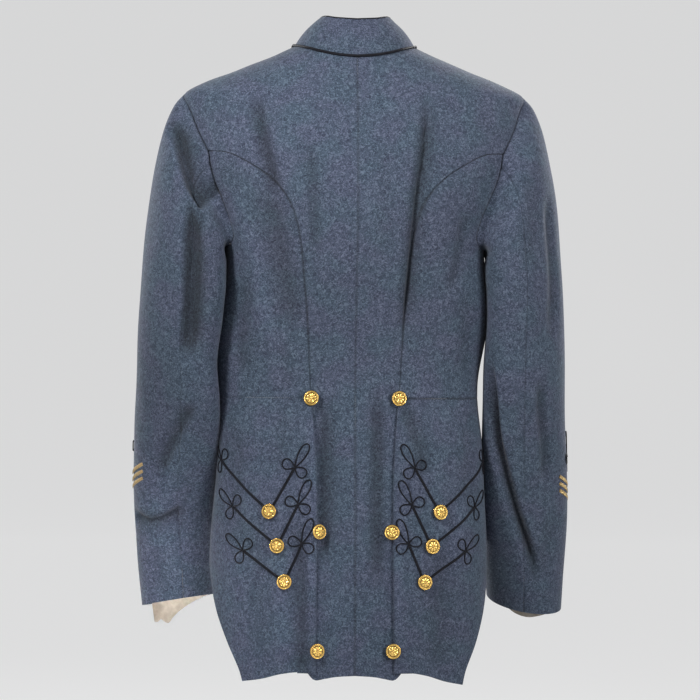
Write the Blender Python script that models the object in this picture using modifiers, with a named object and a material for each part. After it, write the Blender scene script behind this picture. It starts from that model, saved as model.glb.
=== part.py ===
"""Dress tail coat with hussar braiding, filled out as it is worn, at real size.

It hangs as on the shoulders of somebody who faces -Y, with +X on the coat's left side and +Z up.
The origin lies in the middle of the neck opening, at the height of the collar seam. Every table and
every function works in millimetres, and a mesh turns them into metres.
"""

import math

import bmesh
import bpy
import numpy as np
from mathutils import Matrix, Vector

MM = 0.001
CLOTH = 2.0
SEAM_GAP = 0.3
TRIM_GAP = 0.5

WAIST = -443.0
CHEST_TURN = math.radians(92)
QUARTER = math.pi / 2
LEFT, RIGHT = 1, -1
SIDE_NAMES = {LEFT: "left", RIGHT: "right"}

# Level sections of the body from the hem to the side of the neck:
# level, half width, depth behind and in front of the shoulder line, squareness of the curve
SECTIONS = np.array(
    (
        (-830, 180, 127, 118, 2.40),
        (-720, 179, 121, 117, 2.40),
        (-645, 179, 114, 114, 2.40),
        (-575, 175, 106, 111, 2.40),
        (-500, 169.5, 95, 107, 2.40),
        (-443, 162.5, 86, 104, 2.35),
        (-420, 161, 85, 105, 2.35),
        (-380, 161.5, 88, 109, 2.35),
        (-330, 164, 97, 116, 2.40),
        (-252, 168, 113, 122, 2.45),
        (-215, 176, 117.5, 119, 2.45),
        (-190, 188, 118, 114, 2.40),
        (-160, 203, 116, 106, 2.35),
        (-128, 216, 112, 93, 2.30),
        (-95, 221, 105, 80, 2.20),
        (-70, 221, 97, 70, 2.10),
        (-49, 217, 89, 64, 2.00),
        (-35, 190, 83.5, 61, 1.95),
        (-19, 150, 77.5, 60, 1.90),
        (-4, 115, 73, 60, 1.85),
        (12, 79, 68, 60, 1.80),
    )
)
# The skirts stand out a little more on the left than on the right, most at this level
FLARE = {LEFT: 4.0, RIGHT: -3.0}
FLARE_LEVEL, FLARE_REACH = -650.0, 110.0
# Under the arms the body stands out to the sleeves: most at this level, by how much, over what reach
SIDE_SWELL = {LEFT: (-400.0, 6.5, 100.0), RIGHT: (-335.0, 5.0, 62.0)}

# Rows of the back above the waist, from the neck down. The inner end lies on the neckline or the
# centre-back seam, the outer end on the shoulder seam, the armhole or the curved back seam:
# inner across, inner level, outer across, outer level
BACK_ROWS = (
    (75, 10.0, 82, 10.6),
    (60, 5.0, 115, -4.0),
    (40, -1.0, 150, -19.0),
    (20, -4.6, 190, -35.0),
    (0, -6.0, 217, -49.0),
    (0, -32, 213.5, -72),
    (0, -66, 204, -98),
    (0, -108, 190, -128),
    (0, -128, 165, -131),
    (0, -147, 138, -144.5),
    (0, -166, 110, -164),
    (0, -190, 89, -189),
    (0, -218, 77, -219),
    (0, -252, 71, -252),
    (0, -290, 67, -290),
    (0, -330, 63, -330),
    (0, -370, 60, -370),
    (0, -410, 57.5, -410),
    (0, -442.7, 55.5, -442.7),
)
# Rows of the side-back: its inner end on the curved back seam, its outer end on the armhole and the
# side seam. An across of None stands for the turn of the chest where the side seam runs
SIDE_BACK_ROWS = (
    (189.2, -128.1, 189.3, -131),
    (165, -131, 186.5, -146),
    (138, -144.5, 180.5, -167),
    (110, -164, 170.5, -190),
    (89, -189, 159.5, -218),
    (77, -219, 155.5, -239),
    (71, -252, 163, -248.5),
    (67, -290, None, -252),
    (63, -330, None, -300),
    (60, -370, None, -348),
    (57.5, -410, None, -395),
    (55.5, -442.7, None, -442.7),
)
# Rows of a front: its outer end on the shoulder seam, the armhole and the side seam, its inner end on
# the neckline and the centre front
FRONT_ROWS = (
    (82, 10.6, 77.5, 7),
    (115, -4.0, 72, -12),
    (150, -19.0, 62, -34),
    (190, -35.0, 42, -58),
    (217, -49.0, 20, -72),
    (211, -72, 0, -77),
    (196, -98, 0, -97),
    (181, -128, 0, -124),
    (171, -160, 0, -155),
    (165, -190, 0, -188),
    (159, -218, 0, -220),
    (157, -239, 0, -246),
    (163.5, -248.5, 0, -262),
    (None, -252, 0, -282),
    (None, -300, 0, -315),
    (None, -348, 0, -358),
    (None, -395, 0, -403),
    (None, -442.7, 0, -442.7),
)
SHOULDER_ROW, ARMPIT_FRONT_ROW, ARMPIT_SIDE_ROW, APEX_ROW = 4, 13, 7, 7
SHOULDER_TIP = -49.0
BACK_COLUMNS, SIDE_BACK_COLUMNS, FRONT_COLUMNS = 8, 6, 9
BUTTON_STAND, NECK_STEP = 15.0, 4.5
# The right front sinks under the left one by this much, fully up to the first place across and
# not at all past the second, below a level
UNDERLAP_SINK, UNDERLAP_ACROSS, UNDERLAP_TOP = 2.6, (20.0, 46.0), -60.0

# The knife pleat below each hip button: how far from the centre its fold lies, by level
PLEAT_LINE = np.array(((-800, 49.5), (-690, 48.5), (-580, 48), (-520, 49.5), (-470, 53), (-443, 55.5)))
PLEAT_UNDER = 24.0
PLEAT_RISE = 1.7
PLEAT_PLY_GAP = 0.5
# The skirt stands at its full rise up to the first of these distances from the fold, and lies down
# by the second; columns of its cloth lie at the others
PLEAT_FLAT, PLEAT_SPREAD = 14.0, 46.0
PLEAT_UNDER_MIDDLE, PLEAT_FACE_MIDDLE = 12.0, 29.0
# The back sinks under the pleat, and a little less where its last row meets the side-back's end
BACK_DIP, BACK_DIP_RUN = 3.3, 15.0
WAIST_DIP, WAIST_DIP_TOP, WAIST_DIP_ACROSS = 2.5, -430.0, (36, 52)
# Columns of the back below the waist: the first ones at shares of the way in from the pleat's fold,
# the others at distances past it
BACK_SKIRT_SHARES, BACK_SKIRT_STEPS = (1.0, 0.72, 0.47), (-8.0, -2.0, 12.0)
SKIRT_LEVELS = (0.0, 0.05, 0.13, 0.23, 0.33, 0.43, 0.53, 0.63, 0.73, 0.83, 0.92, 1.0)
SKIRT_COLUMNS = 13
# The cut-away front edge of a skirt: level, turn round the body from the centre back in degrees
CUTAWAY = np.array(
    ((-812, 47), (-790, 50), (-754, 60), (-717, 71), (-690, 79), (-645, 92), (-576, 107), (-500, 121), (-443, 130))
)
# Hem of a skirt from its pleat to its front corner, and of the back from its centre to its end
SKIRT_HEM = np.array(((0, -789.5), (0.2, -788.5), (0.45, -792), (0.72, -799.5), (1, -804.5)))
BACK_HEM = np.array(((0, -790.5), (0.36, -792.5), (0.5, -794.5), (0.7, -795), (0.8, -787), (1, -786)))
HEM_TILT = {LEFT: 2.0, RIGHT: -2.0}

# Stations down a sleeve: place of its outer and its inner edge (across, level), half its depth and
# how far its middle lies in front of the shoulder line
SLEEVE = np.array(
    (
        (0, 217, -49, 168.4, -252.4, 66, 0),
        (1, 232, -67, 169.4, -256, 67, 0),
        (2, 247, -102, 170.4, -265, 68, 1),
        (3, 259, -152, 170.8, -282, 67, 2),
        (4, 267.5, -210, 170.2, -308, 65, 3),
        (5, 273, -272, 169.2, -346, 62, 4),
        (6, 277, -342, 168.5, -396, 58, 6),
        (7, 280, -415, 170.5, -450, 54, 11),
        (8, 283, -495, 176, -515, 50, 25),
        (9, 285, -572, 179, -580, 47, 41),
        (10, 282.5, -642, 178.5, -642, 45, 53),
        (11, 277, -719, 178, -703, 43, 62),
    )
)
LAST_STATION = SLEEVE[-1, 0]
# Below this station the sleeve no longer takes the armhole's own shape
ARMHOLE_FADE = 3.0
SLEEVE_SWING = {LEFT: -6.0, RIGHT: 6.0}
SWING_STATION = 7.5
# How much higher the back of a cuff hangs than its middle
CUFF_TILT = {LEFT: 9.0, RIGHT: -13.0}
HIND_SEAM_DRIFT = math.radians(16)
HIND_SEAM, FORE_SEAM = 4, 14

COLLAR_CLOTH = 3.0
# The collar's top edge against the turn round the neck from the back: turn, across, depth, level
COLLAR_TOP = np.array(
    (
        (0, 0, 60, 42),
        (30, 26, 54, 44),
        (58, 42, 37, 47.5),
        (90, 47, 5, 44),
        (125, 38, -38, 22),
        (155, 18, -68, -10),
        (180, 0, -76, -28),
    )
)
COLLAR_BULGE = 3.0
# The collar starts this far over its seam, and its rows lie at these shares of its height
COLLAR_START = 0.7
COLLAR_SHARES = (0, 0.33, 0.66, 1)
PIPING_RADIUS = 1.5
# The cord in the collar seam stands off the corner of collar and coat by this many of its radii
PIPING_STAND = 1.35
CENTRE_GAP = 0.6

LINING_CLOTH = 1.0
LINING_INSIDE = 0.7
# How far the lining hangs out of each cuff, behind and in front
LINING_DROP = {LEFT: (2.0, 17.0), RIGHT: (-4.0, 4.0)}
LINING_RAGGED = {LEFT: 3.0, RIGHT: 0.0}

BRAID_WIDTH, BRAID_HEIGHT = 2.8, 1.6
KNOT_RADIUS = 2.6
KNOT_LOOPS = (("right", -13, 15.5, 11.5, 7), ("leaf", 90, 33, 11.5, 8), ("left", 193, 15.5, 11.5, 7))
KNOT_CORNERS = 7
PETAL_SPREAD = 1.15
# The three braided Vs of a skirt: the point, the inner and the outer knot (across, level)
SKIRT_BRAIDS = (
    ("upper", 107.7, -587, 76.3, -531, 168, -524),
    ("middle", 97.6, -630, 72, -577.5, 155.5, -582),
    ("lower", 88, -675, 67.7, -627, 142, -637),
)
ARM_STEP = 12.0

BUTTON_RADIUS = 10.0
BUTTON_STEPS = 12
# Half outline of a button: a low dome, a rolled rim, a plain back and its shank (out, up)
BUTTON_OUTLINE = (
    (0.0, 5.2),
    (4.8, 4.8),
    (8.6, 3.7),
    (BUTTON_RADIUS, 2.7),
    (BUTTON_RADIUS - 0.5, 1.7),
    (3.0, 1.2),
    (2.6, 0.0),
    (0.0, 0.0),
)
HIP_BUTTON, MIDDLE_BUTTON, BOTTOM_BUTTON = (55.5, -443), (46.5, -612), (48, -761)
FRONT_BUTTONS, FRONT_BUTTON_TOP, FRONT_BUTTON_BOTTOM = 9, -98.0, -428.0

BAR_WIDTH, BAR_HEIGHT, BAR_SPACING = 5.5, 1.2, 10.5
BAR_HALF_SPAN, BAR_RISE = 36.0, 13.0
BAR_LEVEL = {LEFT: -536.0, RIGHT: -545.0}
# The knot over the bars: its height over their ends, how far it sits in front, and its stem
SLEEVE_KNOT_RISE, SLEEVE_KNOT_STEM = 24.0, 19.0
SLEEVE_KNOT_AHEAD = {LEFT: 18.0, RIGHT: 2.0}
# The part of a sleeve that its trim is laid on: from and to these stations, this far round
TRIM_STATIONS, TRIM_TURN = (7, 10), 80

# Broad folds of the worn cloth, seen from behind: points (across, level), half width, depth
BACK_FOLDS = {
    LEFT: (
        (((118, -85), (104, -155)), 14.0, 2.5),
        (((52, -145), (50, -250)), 11.0, 2.0),
    ),
    RIGHT: ((((86, -62), (78, -165), (72, -235), (65, -320), (60, -370)), 10.0, 3.0),),
}
SLEEVE_FOLDS = {
    LEFT: ((((222, -150), (206, -235), (200, -330), (206, -410)), 15.0, 4.0),),
    RIGHT: (
        (((182, -400), (197, -480), (212, -570), (226, -636)), 16.0, 4.5),
        (((236, -400), (243, -465), (252, -530)), 14.0, 3.0),
    ),
}
FOLD_FADE = 0.2
# Folds of a sleeve come in where its cloth turns this much towards the back
FOLD_FACING = 0.4

WOOL = ("cadet_wool", (0.085, 0.115, 0.165), 0.92, 0.0)
PIPING = ("black_soutache", (0.010, 0.011, 0.018), 0.6, 0.0)
LINING = ("cream_lining", (0.72, 0.60, 0.44), 0.75, 0.0)
GILT = ("gilt_brass", (0.85, 0.55, 0.14), 0.3, 1.0)
LACE = ("gold_lace", (0.78, 0.60, 0.28), 0.45, 0.6)


def smooth(places, values, at):
    """Curve through (places, values): cubic pieces whose slopes are those of the parabola through
    each three neighbours."""
    at = np.clip(at, places[0], places[-1])
    run = np.diff(places)
    chord = np.diff(values) / run
    inner = (chord[:-1] * run[1:] + chord[1:] * run[:-1]) / (run[1:] + run[:-1])
    slope = np.concatenate((chord[:1], inner, chord[-1:]))
    k = np.clip(np.searchsorted(places, at, side="right") - 1, 0, len(run) - 1)
    t = (at - places[k]) / run[k]
    rise = values[k] * (1 + 2 * t) * (1 - t) ** 2 + values[k + 1] * t * t * (3 - 2 * t)
    return rise + run[k] * (slope[k] * t * (1 - t) ** 2 - slope[k + 1] * t * t * (1 - t))


def ease(low, high, at):
    """0 below low, 1 above high, and an S-curve between."""
    t = np.clip((np.asarray(at, float) - low) / (high - low), 0, 1)
    return t * t * (3 - 2 * t)


def unit(vectors):
    """The vectors at length 1."""
    return vectors / np.maximum(np.linalg.norm(vectors, axis=-1, keepdims=True), 1e-9)


def section(level, side):
    """Half width, back depth, front depth and squareness of the body at each level."""
    half, back, front, square = (smooth(SECTIONS[:, 0], SECTIONS[:, k], level) for k in (1, 2, 3, 4))
    spread = np.exp(-(((level - FLARE_LEVEL) / FLARE_REACH) ** 2))
    middle, swell, reach = SIDE_SWELL[side]
    arm = swell * np.exp(-(((level - middle) / reach) ** 2))
    return half + FLARE[side] * spread + arm, back, front, square


def torso(turn, level, side):
    """Outer face of the body, at a turn round from the centre back and a level. Each section is
    x = w |sin|^(2/n), y = d |cos|^(2/n), with the signs kept, for half width w, depth d and
    squareness n. It is worked out for the coat's left half."""
    turn, level = np.broadcast_arrays(np.asarray(turn, float), np.asarray(level, float))
    half, back, front, square = section(level, side)
    sine, cosine = np.sin(turn), np.cos(turn)
    across = half * np.sign(sine) * np.abs(sine) ** (2 / square)
    depth = np.where(cosine > 0, back, front) * np.sign(cosine) * np.abs(cosine) ** (2 / square)
    return np.stack((across, depth, level), -1)


def torso_frame(turn, level, side):
    """Point, outward normal and level tangent of the body."""
    step_turn, step_level = 0.006, 1.5
    along = torso(turn + step_turn, level, side) - torso(turn - step_turn, level, side)
    up = torso(turn, level + step_level, side) - torso(turn, level - step_level, side)
    return torso(turn, level, side), unit(np.cross(along, up)) * -1, unit(along)


def turn_at(across, level, side, front=False):
    """Turn at which the section at a level passes a place across, on the back or the front."""
    half, _, _, square = section(np.asarray(level, float), side)
    share = np.clip(np.asarray(across, float) / half, -1, 1)
    turn = np.arcsin(np.sign(share) * np.abs(share) ** (square / 2))
    return math.pi - turn if front else turn


def turn_along(along, level, side):
    """Turn at a distance along the cloth from the centre back, at each level."""
    turns = np.linspace(0, math.pi, 121)
    ring = torso(turns[None, :], level[:, None], side)
    steps = np.linalg.norm(np.diff(ring, axis=1), axis=-1)
    length = np.concatenate((np.zeros((len(level), 1)), np.cumsum(steps, axis=1)), axis=1)
    return np.array([np.interp(a, row, turns) for a, row in zip(along, length)])


def along_at(turn, level, side):
    """Distance along the cloth from the centre back to a turn, at one level."""
    ring = torso(np.linspace(0, turn, 80), level, side)
    return np.linalg.norm(np.diff(ring, axis=0), axis=-1).sum()


def fold_depth(points, folds):
    """How far the broad folds sink the cloth that faces back: a soft trough along each fold's line,
    which fades towards either end."""
    total = np.zeros(points.shape[:-1])
    flat = points[..., (0, 2)]
    for line, reach, depth in folds:
        line = np.array(line, float)
        runs = np.linalg.norm(np.diff(line, axis=0), axis=1)
        starts = np.concatenate(((0,), np.cumsum(runs)))
        best = np.full(flat.shape[:-1], 1e9)
        place = np.zeros(flat.shape[:-1])
        for k, run in enumerate(runs):
            way = (line[k + 1] - line[k]) / run
            t = np.clip((flat - line[k]) @ way, 0, run)
            away = np.linalg.norm(flat - line[k] - t[..., None] * way, axis=-1)
            nearer = away < best
            best, place = np.where(nearer, away, best), np.where(nearer, starts[k] + t, place)
        share = place / starts[-1]
        fade = ease(0, FOLD_FADE, share) * ease(0, FOLD_FADE, 1 - share)
        total += depth * fade * np.exp(-((best / reach) ** 2))
    return total


def row_on_torso(start, end, shares, side):
    """Points and normals on the body from start to end, each a (turn, level), at shares of the
    length of the blend between them."""
    blend = np.linspace(0, 1, 61)
    path = torso(start[0] + (end[0] - start[0]) * blend, start[1] + (end[1] - start[1]) * blend, side)
    length = np.concatenate(((0,), np.cumsum(np.linalg.norm(np.diff(path, axis=0), axis=-1))))
    at = np.interp(np.asarray(shares) * length[-1], length, blend)
    points, normals, _ = torso_frame(
        start[0] + (end[0] - start[0]) * at, start[1] + (end[1] - start[1]) * at, side
    )
    return points, normals


SIDE_BORDERS = ((np.s_[:, 0], np.s_[:, 1]), (np.s_[:, -1], np.s_[:, -2]))
END_BORDERS = ((np.s_[0, :], np.s_[1, :]), (np.s_[-1, :], np.s_[-2, :]))


def seam_inset(points, amount, borders=SIDE_BORDERS + END_BORDERS):
    """The grid with its borders moved in by amount, square to each border."""
    moved = points.copy()
    for edge, inner in borders:
        way = unit(np.gradient(points[edge], axis=0))
        inward = points[inner] - points[edge]
        inward = inward - (inward * way).sum(-1, keepdims=True) * way
        moved[edge] += unit(inward) * amount
    return moved


def mirrored(points, side):
    """Points of the left half, on the side asked for."""
    return points * np.array((side, 1, 1))


def add_object(name, mesh, material):
    """A named object of the coat with its material."""
    mesh.materials.append(material)
    thing = bpy.data.objects.new(name, mesh)
    coat.objects.link(thing)
    return thing


def closed_mesh(name, vertices, faces, material):
    """An object from points in millimetres, its faces turned outwards."""
    mesh = bpy.data.meshes.new(name)
    mesh.from_pydata((np.asarray(vertices) * MM).tolist(), [], faces)
    work = bmesh.new()
    work.from_mesh(mesh)
    bmesh.ops.recalc_face_normals(work, faces=work.faces)
    work.to_mesh(mesh)
    work.free()
    mesh.shade_smooth()
    mesh.set_sharp_from_angle(angle=math.radians(40))
    return add_object(name, mesh, material)


def wall(name, outer, inner, material, ring=False):
    """A wall of cloth between two grids of points: both faces and its edges. A ring's columns close
    on themselves."""
    rows, columns = outer.shape[:2]
    count = rows * columns
    index = np.arange(count).reshape(rows, columns)
    if ring:
        index = np.concatenate((index, index[:, :1]), axis=1)
    corners = np.stack((index[:-1, :-1], index[:-1, 1:], index[1:, 1:], index[1:, :-1]), -1)
    faces = corners.reshape(-1, 4).tolist()
    faces += (corners[..., ::-1] + count).reshape(-1, 4).tolist()
    top, bottom = index[0], index[-1, ::-1]
    borders = [top, bottom] if ring else [np.concatenate((top, index[1:, -1], bottom[1:], index[-2::-1, 0]))]
    for border in borders:
        faces += [(b, a, a + count, b + count) for a, b in zip(border[:-1].tolist(), border[1:].tolist())]
    vertices = np.concatenate((outer.reshape(-1, 3), inner.reshape(-1, 3)))
    return closed_mesh(name, vertices, faces, material)


def cloth_wall(name, points, normals, side, material, thickness=CLOTH, ring=False):
    """A wall with its outer face on the points, which is the left half or its mirror image."""
    inner = points - normals * thickness
    return wall(name, mirrored(points, side), mirrored(inner, side), material, ring)


def row_end(across, level, side, front):
    """A row's end as (turn, level)."""
    turn = CHEST_TURN if across is None else float(turn_at(across, level, side, front))
    return turn, level


def armhole_points(side):
    """Points and body normals round the armhole: from the shoulder down the back, under the arm and
    up the front."""
    back = [(row[2], row[3], False) for row in BACK_ROWS[SHOULDER_ROW : APEX_ROW + 1]]
    back += [(row[2], row[3], False) for row in SIDE_BACK_ROWS[1 : ARMPIT_SIDE_ROW + 1]]
    front = [(row[0], row[1], True) for row in FRONT_ROWS[SHOULDER_ROW + 1 : ARMPIT_FRONT_ROW]]
    ends = [row_end(across, level, side, is_front) for across, level, is_front in back + front[::-1]]
    turns, levels = np.array(ends).T
    points, normals, _ = torso_frame(turns, levels, side)
    return points, normals


def sleeve_rings(stations, phases, side):
    """Elliptical rings of a sleeve: each lies between its outer edge, at phase 0, and its inner
    edge, at half a turn, with the station's half depth; the cuff swings sideways and tilts."""
    stations = np.asarray(stations, float)
    columns = [smooth(SLEEVE[:, 0], SLEEVE[:, k], stations) for k in range(1, 7)]
    out_x, out_z, in_x, in_z, depth, ahead = (column[:, None] for column in columns)
    late = ease(SWING_STATION, LAST_STATION, stations)[:, None]
    share, height = np.cos(phases), np.sin(phases)
    x = (out_x + in_x) / 2 + (out_x - in_x) / 2 * share + SLEEVE_SWING[side] * late
    z = (out_z + in_z) / 2 + (out_z - in_z) / 2 * share + CUFF_TILT[side] * late * height
    return np.stack((x, depth * height - ahead, z), -1)


def sleeve_grid(side):
    """Points and normals of a sleeve at its stations, in columns that start at the armhole's own
    points. Near the shoulder a ring takes the armhole's shape, which fades down the sleeve."""
    armhole, _ = armhole_points(side)
    outer, inner = SLEEVE[0, (1, 2)], SLEEVE[0, (3, 4)]
    axis = (outer - inner) / 2
    flat = armhole[:, (0, 2)] - (outer + inner) / 2
    phases = np.unwrap(np.arctan2(armhole[:, 1] / SLEEVE[0, 5], flat @ axis / (axis @ axis)))
    phases = phases - phases[0]
    stations = SLEEVE[:, 0]
    drift = HIND_SEAM_DRIFT * ease(0, LAST_STATION, stations)[:, None] * np.sin(phases / 2) ** 2
    points = sleeve_rings(stations, phases + drift, side)
    own = armhole - sleeve_rings(stations[:1], phases[None, :], side)[0]
    points = points + own * (1 - ease(0, ARMHOLE_FADE, stations))[:, None, None]
    around = np.roll(points, -1, axis=1) - np.roll(points, 1, axis=1)
    normals = unit(np.cross(around, np.gradient(points, axis=0))) * -1
    depth = fold_depth(points, SLEEVE_FOLDS[side]) * ease(0, FOLD_FACING, normals[..., 1])
    return points - normals * depth[..., None], normals, phases


def build_back(side, material):
    """Half of the back, cut in one from the collar to the hem, with the part under the pleat."""
    shares = np.linspace(0, 1, BACK_COLUMNS)
    points, normals = [], []
    for inner_across, inner_level, outer_across, outer_level in BACK_ROWS:
        start = row_end(inner_across, inner_level, side, False)
        end = row_end(outer_across, outer_level, side, False)
        if outer_level >= SHOULDER_TIP:
            end = (QUARTER, outer_level)
        row, lean = row_on_torso(start, end, shares, side)
        dip = WAIST_DIP * ease(*WAIST_DIP_ACROSS, row[:, 0]) * (outer_level < WAIST_DIP_TOP)
        row = row - lean * (fold_depth(row, BACK_FOLDS[side]) + dip)[:, None]
        points.append(row)
        normals.append(lean)
    for share in SKIRT_LEVELS:
        nominal = (WAIST - 1.5) + share * (BACK_HEM[0, 1] - WAIST)
        fold = float(smooth(PLEAT_LINE[:, 0], PLEAT_LINE[:, 1], nominal))
        edge = along_at(turn_at(fold, nominal, side), nominal, side)
        steps = (-BACK_DIP_RUN, *BACK_SKIRT_STEPS, PLEAT_UNDER + 3)
        stops = edge + np.array([-edge * part for part in BACK_SKIRT_SHARES] + list(steps))
        hem = smooth(BACK_HEM[:, 0], BACK_HEM[:, 1], stops / stops[-1]) - BACK_HEM[0, 1]
        levels = nominal + share * share * hem
        row, lean, _ = torso_frame(turn_along(stops, levels, side), levels, side)
        dip = BACK_DIP * ease(-BACK_DIP_RUN - 1, -2, stops - edge)
        points.append(row - lean * dip[:, None])
        normals.append(lean)
    points, normals = np.array(points), np.array(normals)
    points = seam_inset(points, SEAM_GAP / 2)
    cloth_wall(f"back_{SIDE_NAMES[side]}", points, normals, side, material)


def build_side_back(side, material):
    """Side of the back, between the curved back seam and the side seam, down to the waist seam."""
    shares = np.linspace(0, 1, SIDE_BACK_COLUMNS)
    rows = []
    for inner_across, inner_level, outer_across, outer_level in SIDE_BACK_ROWS:
        start = row_end(inner_across, inner_level, side, False)
        rows.append(row_on_torso(start, row_end(outer_across, outer_level, side, False), shares, side))
    points, normals = (np.array(part) for part in zip(*rows))
    points = points - normals * fold_depth(points, BACK_FOLDS[side])[..., None]
    points = seam_inset(points, SEAM_GAP / 2)
    cloth_wall(f"side_back_{SIDE_NAMES[side]}", points, normals, side, material)


def build_front(side, material):
    """A front to the waist. The left one runs past the centre, over the sunken edge of the right."""
    shares = np.linspace(0, 1, FRONT_COLUMNS)
    rows = []
    for outer_across, outer_level, inner_across, inner_level in FRONT_ROWS:
        start = row_end(outer_across, outer_level, side, True)
        if outer_level >= SHOULDER_TIP:
            start = (QUARTER, outer_level)
        if inner_across == 0:
            inner_across = -BUTTON_STAND
            inner_level -= NECK_STEP if len(rows) == SHOULDER_ROW + 1 else 0
        rows.append(row_on_torso(start, row_end(inner_across, inner_level, side, True), shares, side))
    points, normals = (np.array(part) for part in zip(*rows))
    if side == RIGHT:
        sink = UNDERLAP_SINK * (1 - ease(*UNDERLAP_ACROSS, points[..., 0])) * (points[..., 2] < UNDERLAP_TOP)
        points = points - normals * sink[..., None]
    points = seam_inset(points, SEAM_GAP / 2)
    cloth_wall(f"front_{SIDE_NAMES[side]}", points, normals, side, material)


def skirt_rise(away):
    """Height of a skirt's outer face over the body, by the distance from its fold."""
    return PLEAT_RISE * (1 - ease(PLEAT_FLAT, PLEAT_SPREAD, away))


def build_skirt(side, material):
    """A skirt from its knife pleat round to its cut-away front edge. The pleat turns back under
    itself for PLEAT_UNDER, and its cloth is worked out as the middle of the wall."""
    lift = PLEAT_RISE - CLOTH / 2
    radius = (CLOTH + PLEAT_PLY_GAP) / 2
    arc = np.linspace(-QUARTER, QUARTER, 5)
    fold_away = radius + CLOTH / 2 - radius * np.cos(arc)
    fold_height = lift - radius + radius * np.sin(arc)
    under = lift - 2 * radius
    points, normals = [], []
    for share in SKIRT_LEVELS:
        nominal = (WAIST - SEAM_GAP / 2) + share * (SKIRT_HEM[0, 1] - WAIST)
        front_level = (WAIST - SEAM_GAP / 2) + share * (SKIRT_HEM[-1, 1] + HEM_TILT[side] - WAIST)
        fold = float(smooth(PLEAT_LINE[:, 0], PLEAT_LINE[:, 1], nominal))
        start = along_at(turn_at(fold, nominal, side), nominal, side)
        corner = math.radians(float(smooth(CUTAWAY[:, 0], CUTAWAY[:, 1], front_level)))
        reach = along_at(corner, front_level, side) - start
        plain = np.linspace(PLEAT_SPREAD, reach, SKIRT_COLUMNS)
        start_columns = ((PLEAT_UNDER, PLEAT_UNDER_MIDDLE), fold_away, (PLEAT_FLAT, PLEAT_FACE_MIDDLE))
        away = np.concatenate((*start_columns, plain))
        outer = np.arange(len(away)) > 6
        height = np.concatenate(((under, under), fold_height, skirt_rise(away[7:]) - CLOTH / 2))
        hem = smooth(SKIRT_HEM[:, 0], SKIRT_HEM[:, 1], np.where(outer, away, 0) / reach)
        tilt = HEM_TILT[side] * np.where(outer, away, 0) / reach
        levels = (WAIST - SEAM_GAP / 2) + share * (hem + tilt - WAIST)
        body, lean, round_way = torso_frame(turn_along(start + away, levels, side), levels, side)
        run, climb = np.gradient(away), np.gradient(height)
        size = np.hypot(run, climb)
        normal = (lean * run[:, None] - round_way * climb[:, None]) / size[:, None]
        points.append(body + lean * height[:, None] + normal * CLOTH / 2)
        normals.append(normal)
    points, normals = np.array(points), np.array(normals)
    points[0, :, 2] -= SEAM_GAP / 2
    cloth_wall(f"skirt_{SIDE_NAMES[side]}", points, normals, side, material)


def build_sleeve(side, material):
    """The two pieces of a sleeve, which meet at the hind-arm and the fore-arm seam."""
    points, normals, _ = sleeve_grid(side)
    _, body_normals = armhole_points(side)
    facing = (body_normals * normals[0]).sum(-1) > 0.1
    normals[0][facing] = unit(body_normals + normals[0])[facing]
    count = points.shape[1]
    full = np.arange(-1, count + 1) % count
    points = seam_inset(points[:, full], SEAM_GAP / 2, END_BORDERS)[:, 1:-1]
    spans = {
        "top_sleeve": [k % count for k in range(FORE_SEAM, count + HIND_SEAM + 1)],
        "under_sleeve": list(range(HIND_SEAM, FORE_SEAM + 1)),
    }
    for name, span in spans.items():
        piece = seam_inset(points[:, span], SEAM_GAP / 2, SIDE_BORDERS)
        cloth_wall(f"{name}_{SIDE_NAMES[side]}", piece, normals[:, span], side, material)


def build_cuff_lining(side, material):
    """Lining that hangs out of the cuff, lower in front than behind."""
    rings, leans, phases = sleeve_grid(side)
    rings = rings - leans * (CLOTH + TRIM_GAP)
    behind, before = LINING_DROP[side]
    wave = LINING_RAGGED[side] * np.sin(3 * phases + 1)
    drop = (behind + before) / 2 - (before - behind) / 2 * np.sin(phases) + wave
    way = unit(rings[-1] - rings[-2])
    start = rings[-2] + (rings[-1] - rings[-2]) * (1 - LINING_INSIDE)
    points = np.stack((start, rings[-1] - way, rings[-1] + way * drop[:, None]))
    normals = np.stack((leans[-1],) * 3)
    cloth_wall(f"cuff_lining_{SIDE_NAMES[side]}", points, normals, side, material, LINING_CLOTH, True)


def neckline(side):
    """Neckline points and body normals from the nape round to the centre front."""
    ends = [row_end(row[0], row[1], side, False) for row in BACK_ROWS[SHOULDER_ROW::-1]]
    ends.append((QUARTER, SECTIONS[-1, 0]))
    ends += [row_end(row[2], row[3], side, True) for row in FRONT_ROWS[: SHOULDER_ROW + 2]]
    turns, levels = np.array(ends).T
    points, normals, _ = torso_frame(turns, levels, side)
    return points, normals


def collar_shape():
    """Base, top edge and body normals right round the neck, from one end at the centre front to the
    other. A point's share of the way round at the base is its turn at the top."""
    points, normals = neckline(LEFT)
    length = np.concatenate(((0,), np.cumsum(np.linalg.norm(np.diff(points, axis=0), axis=-1))))
    turns = 180 * length / length[-1]
    top = np.stack([smooth(COLLAR_TOP[:, 0], COLLAR_TOP[:, k], turns) for k in (1, 2, 3)], -1)
    halves = []
    for part in (points, top, normals):
        halves.append(np.concatenate((mirrored(part, RIGHT)[:0:-1], part)))
    base, top, normals = halves
    for edge in (base, top):
        edge[0, 0], edge[-1, 0] = -CENTRE_GAP, CENTRE_GAP
    return base, top, normals


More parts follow.
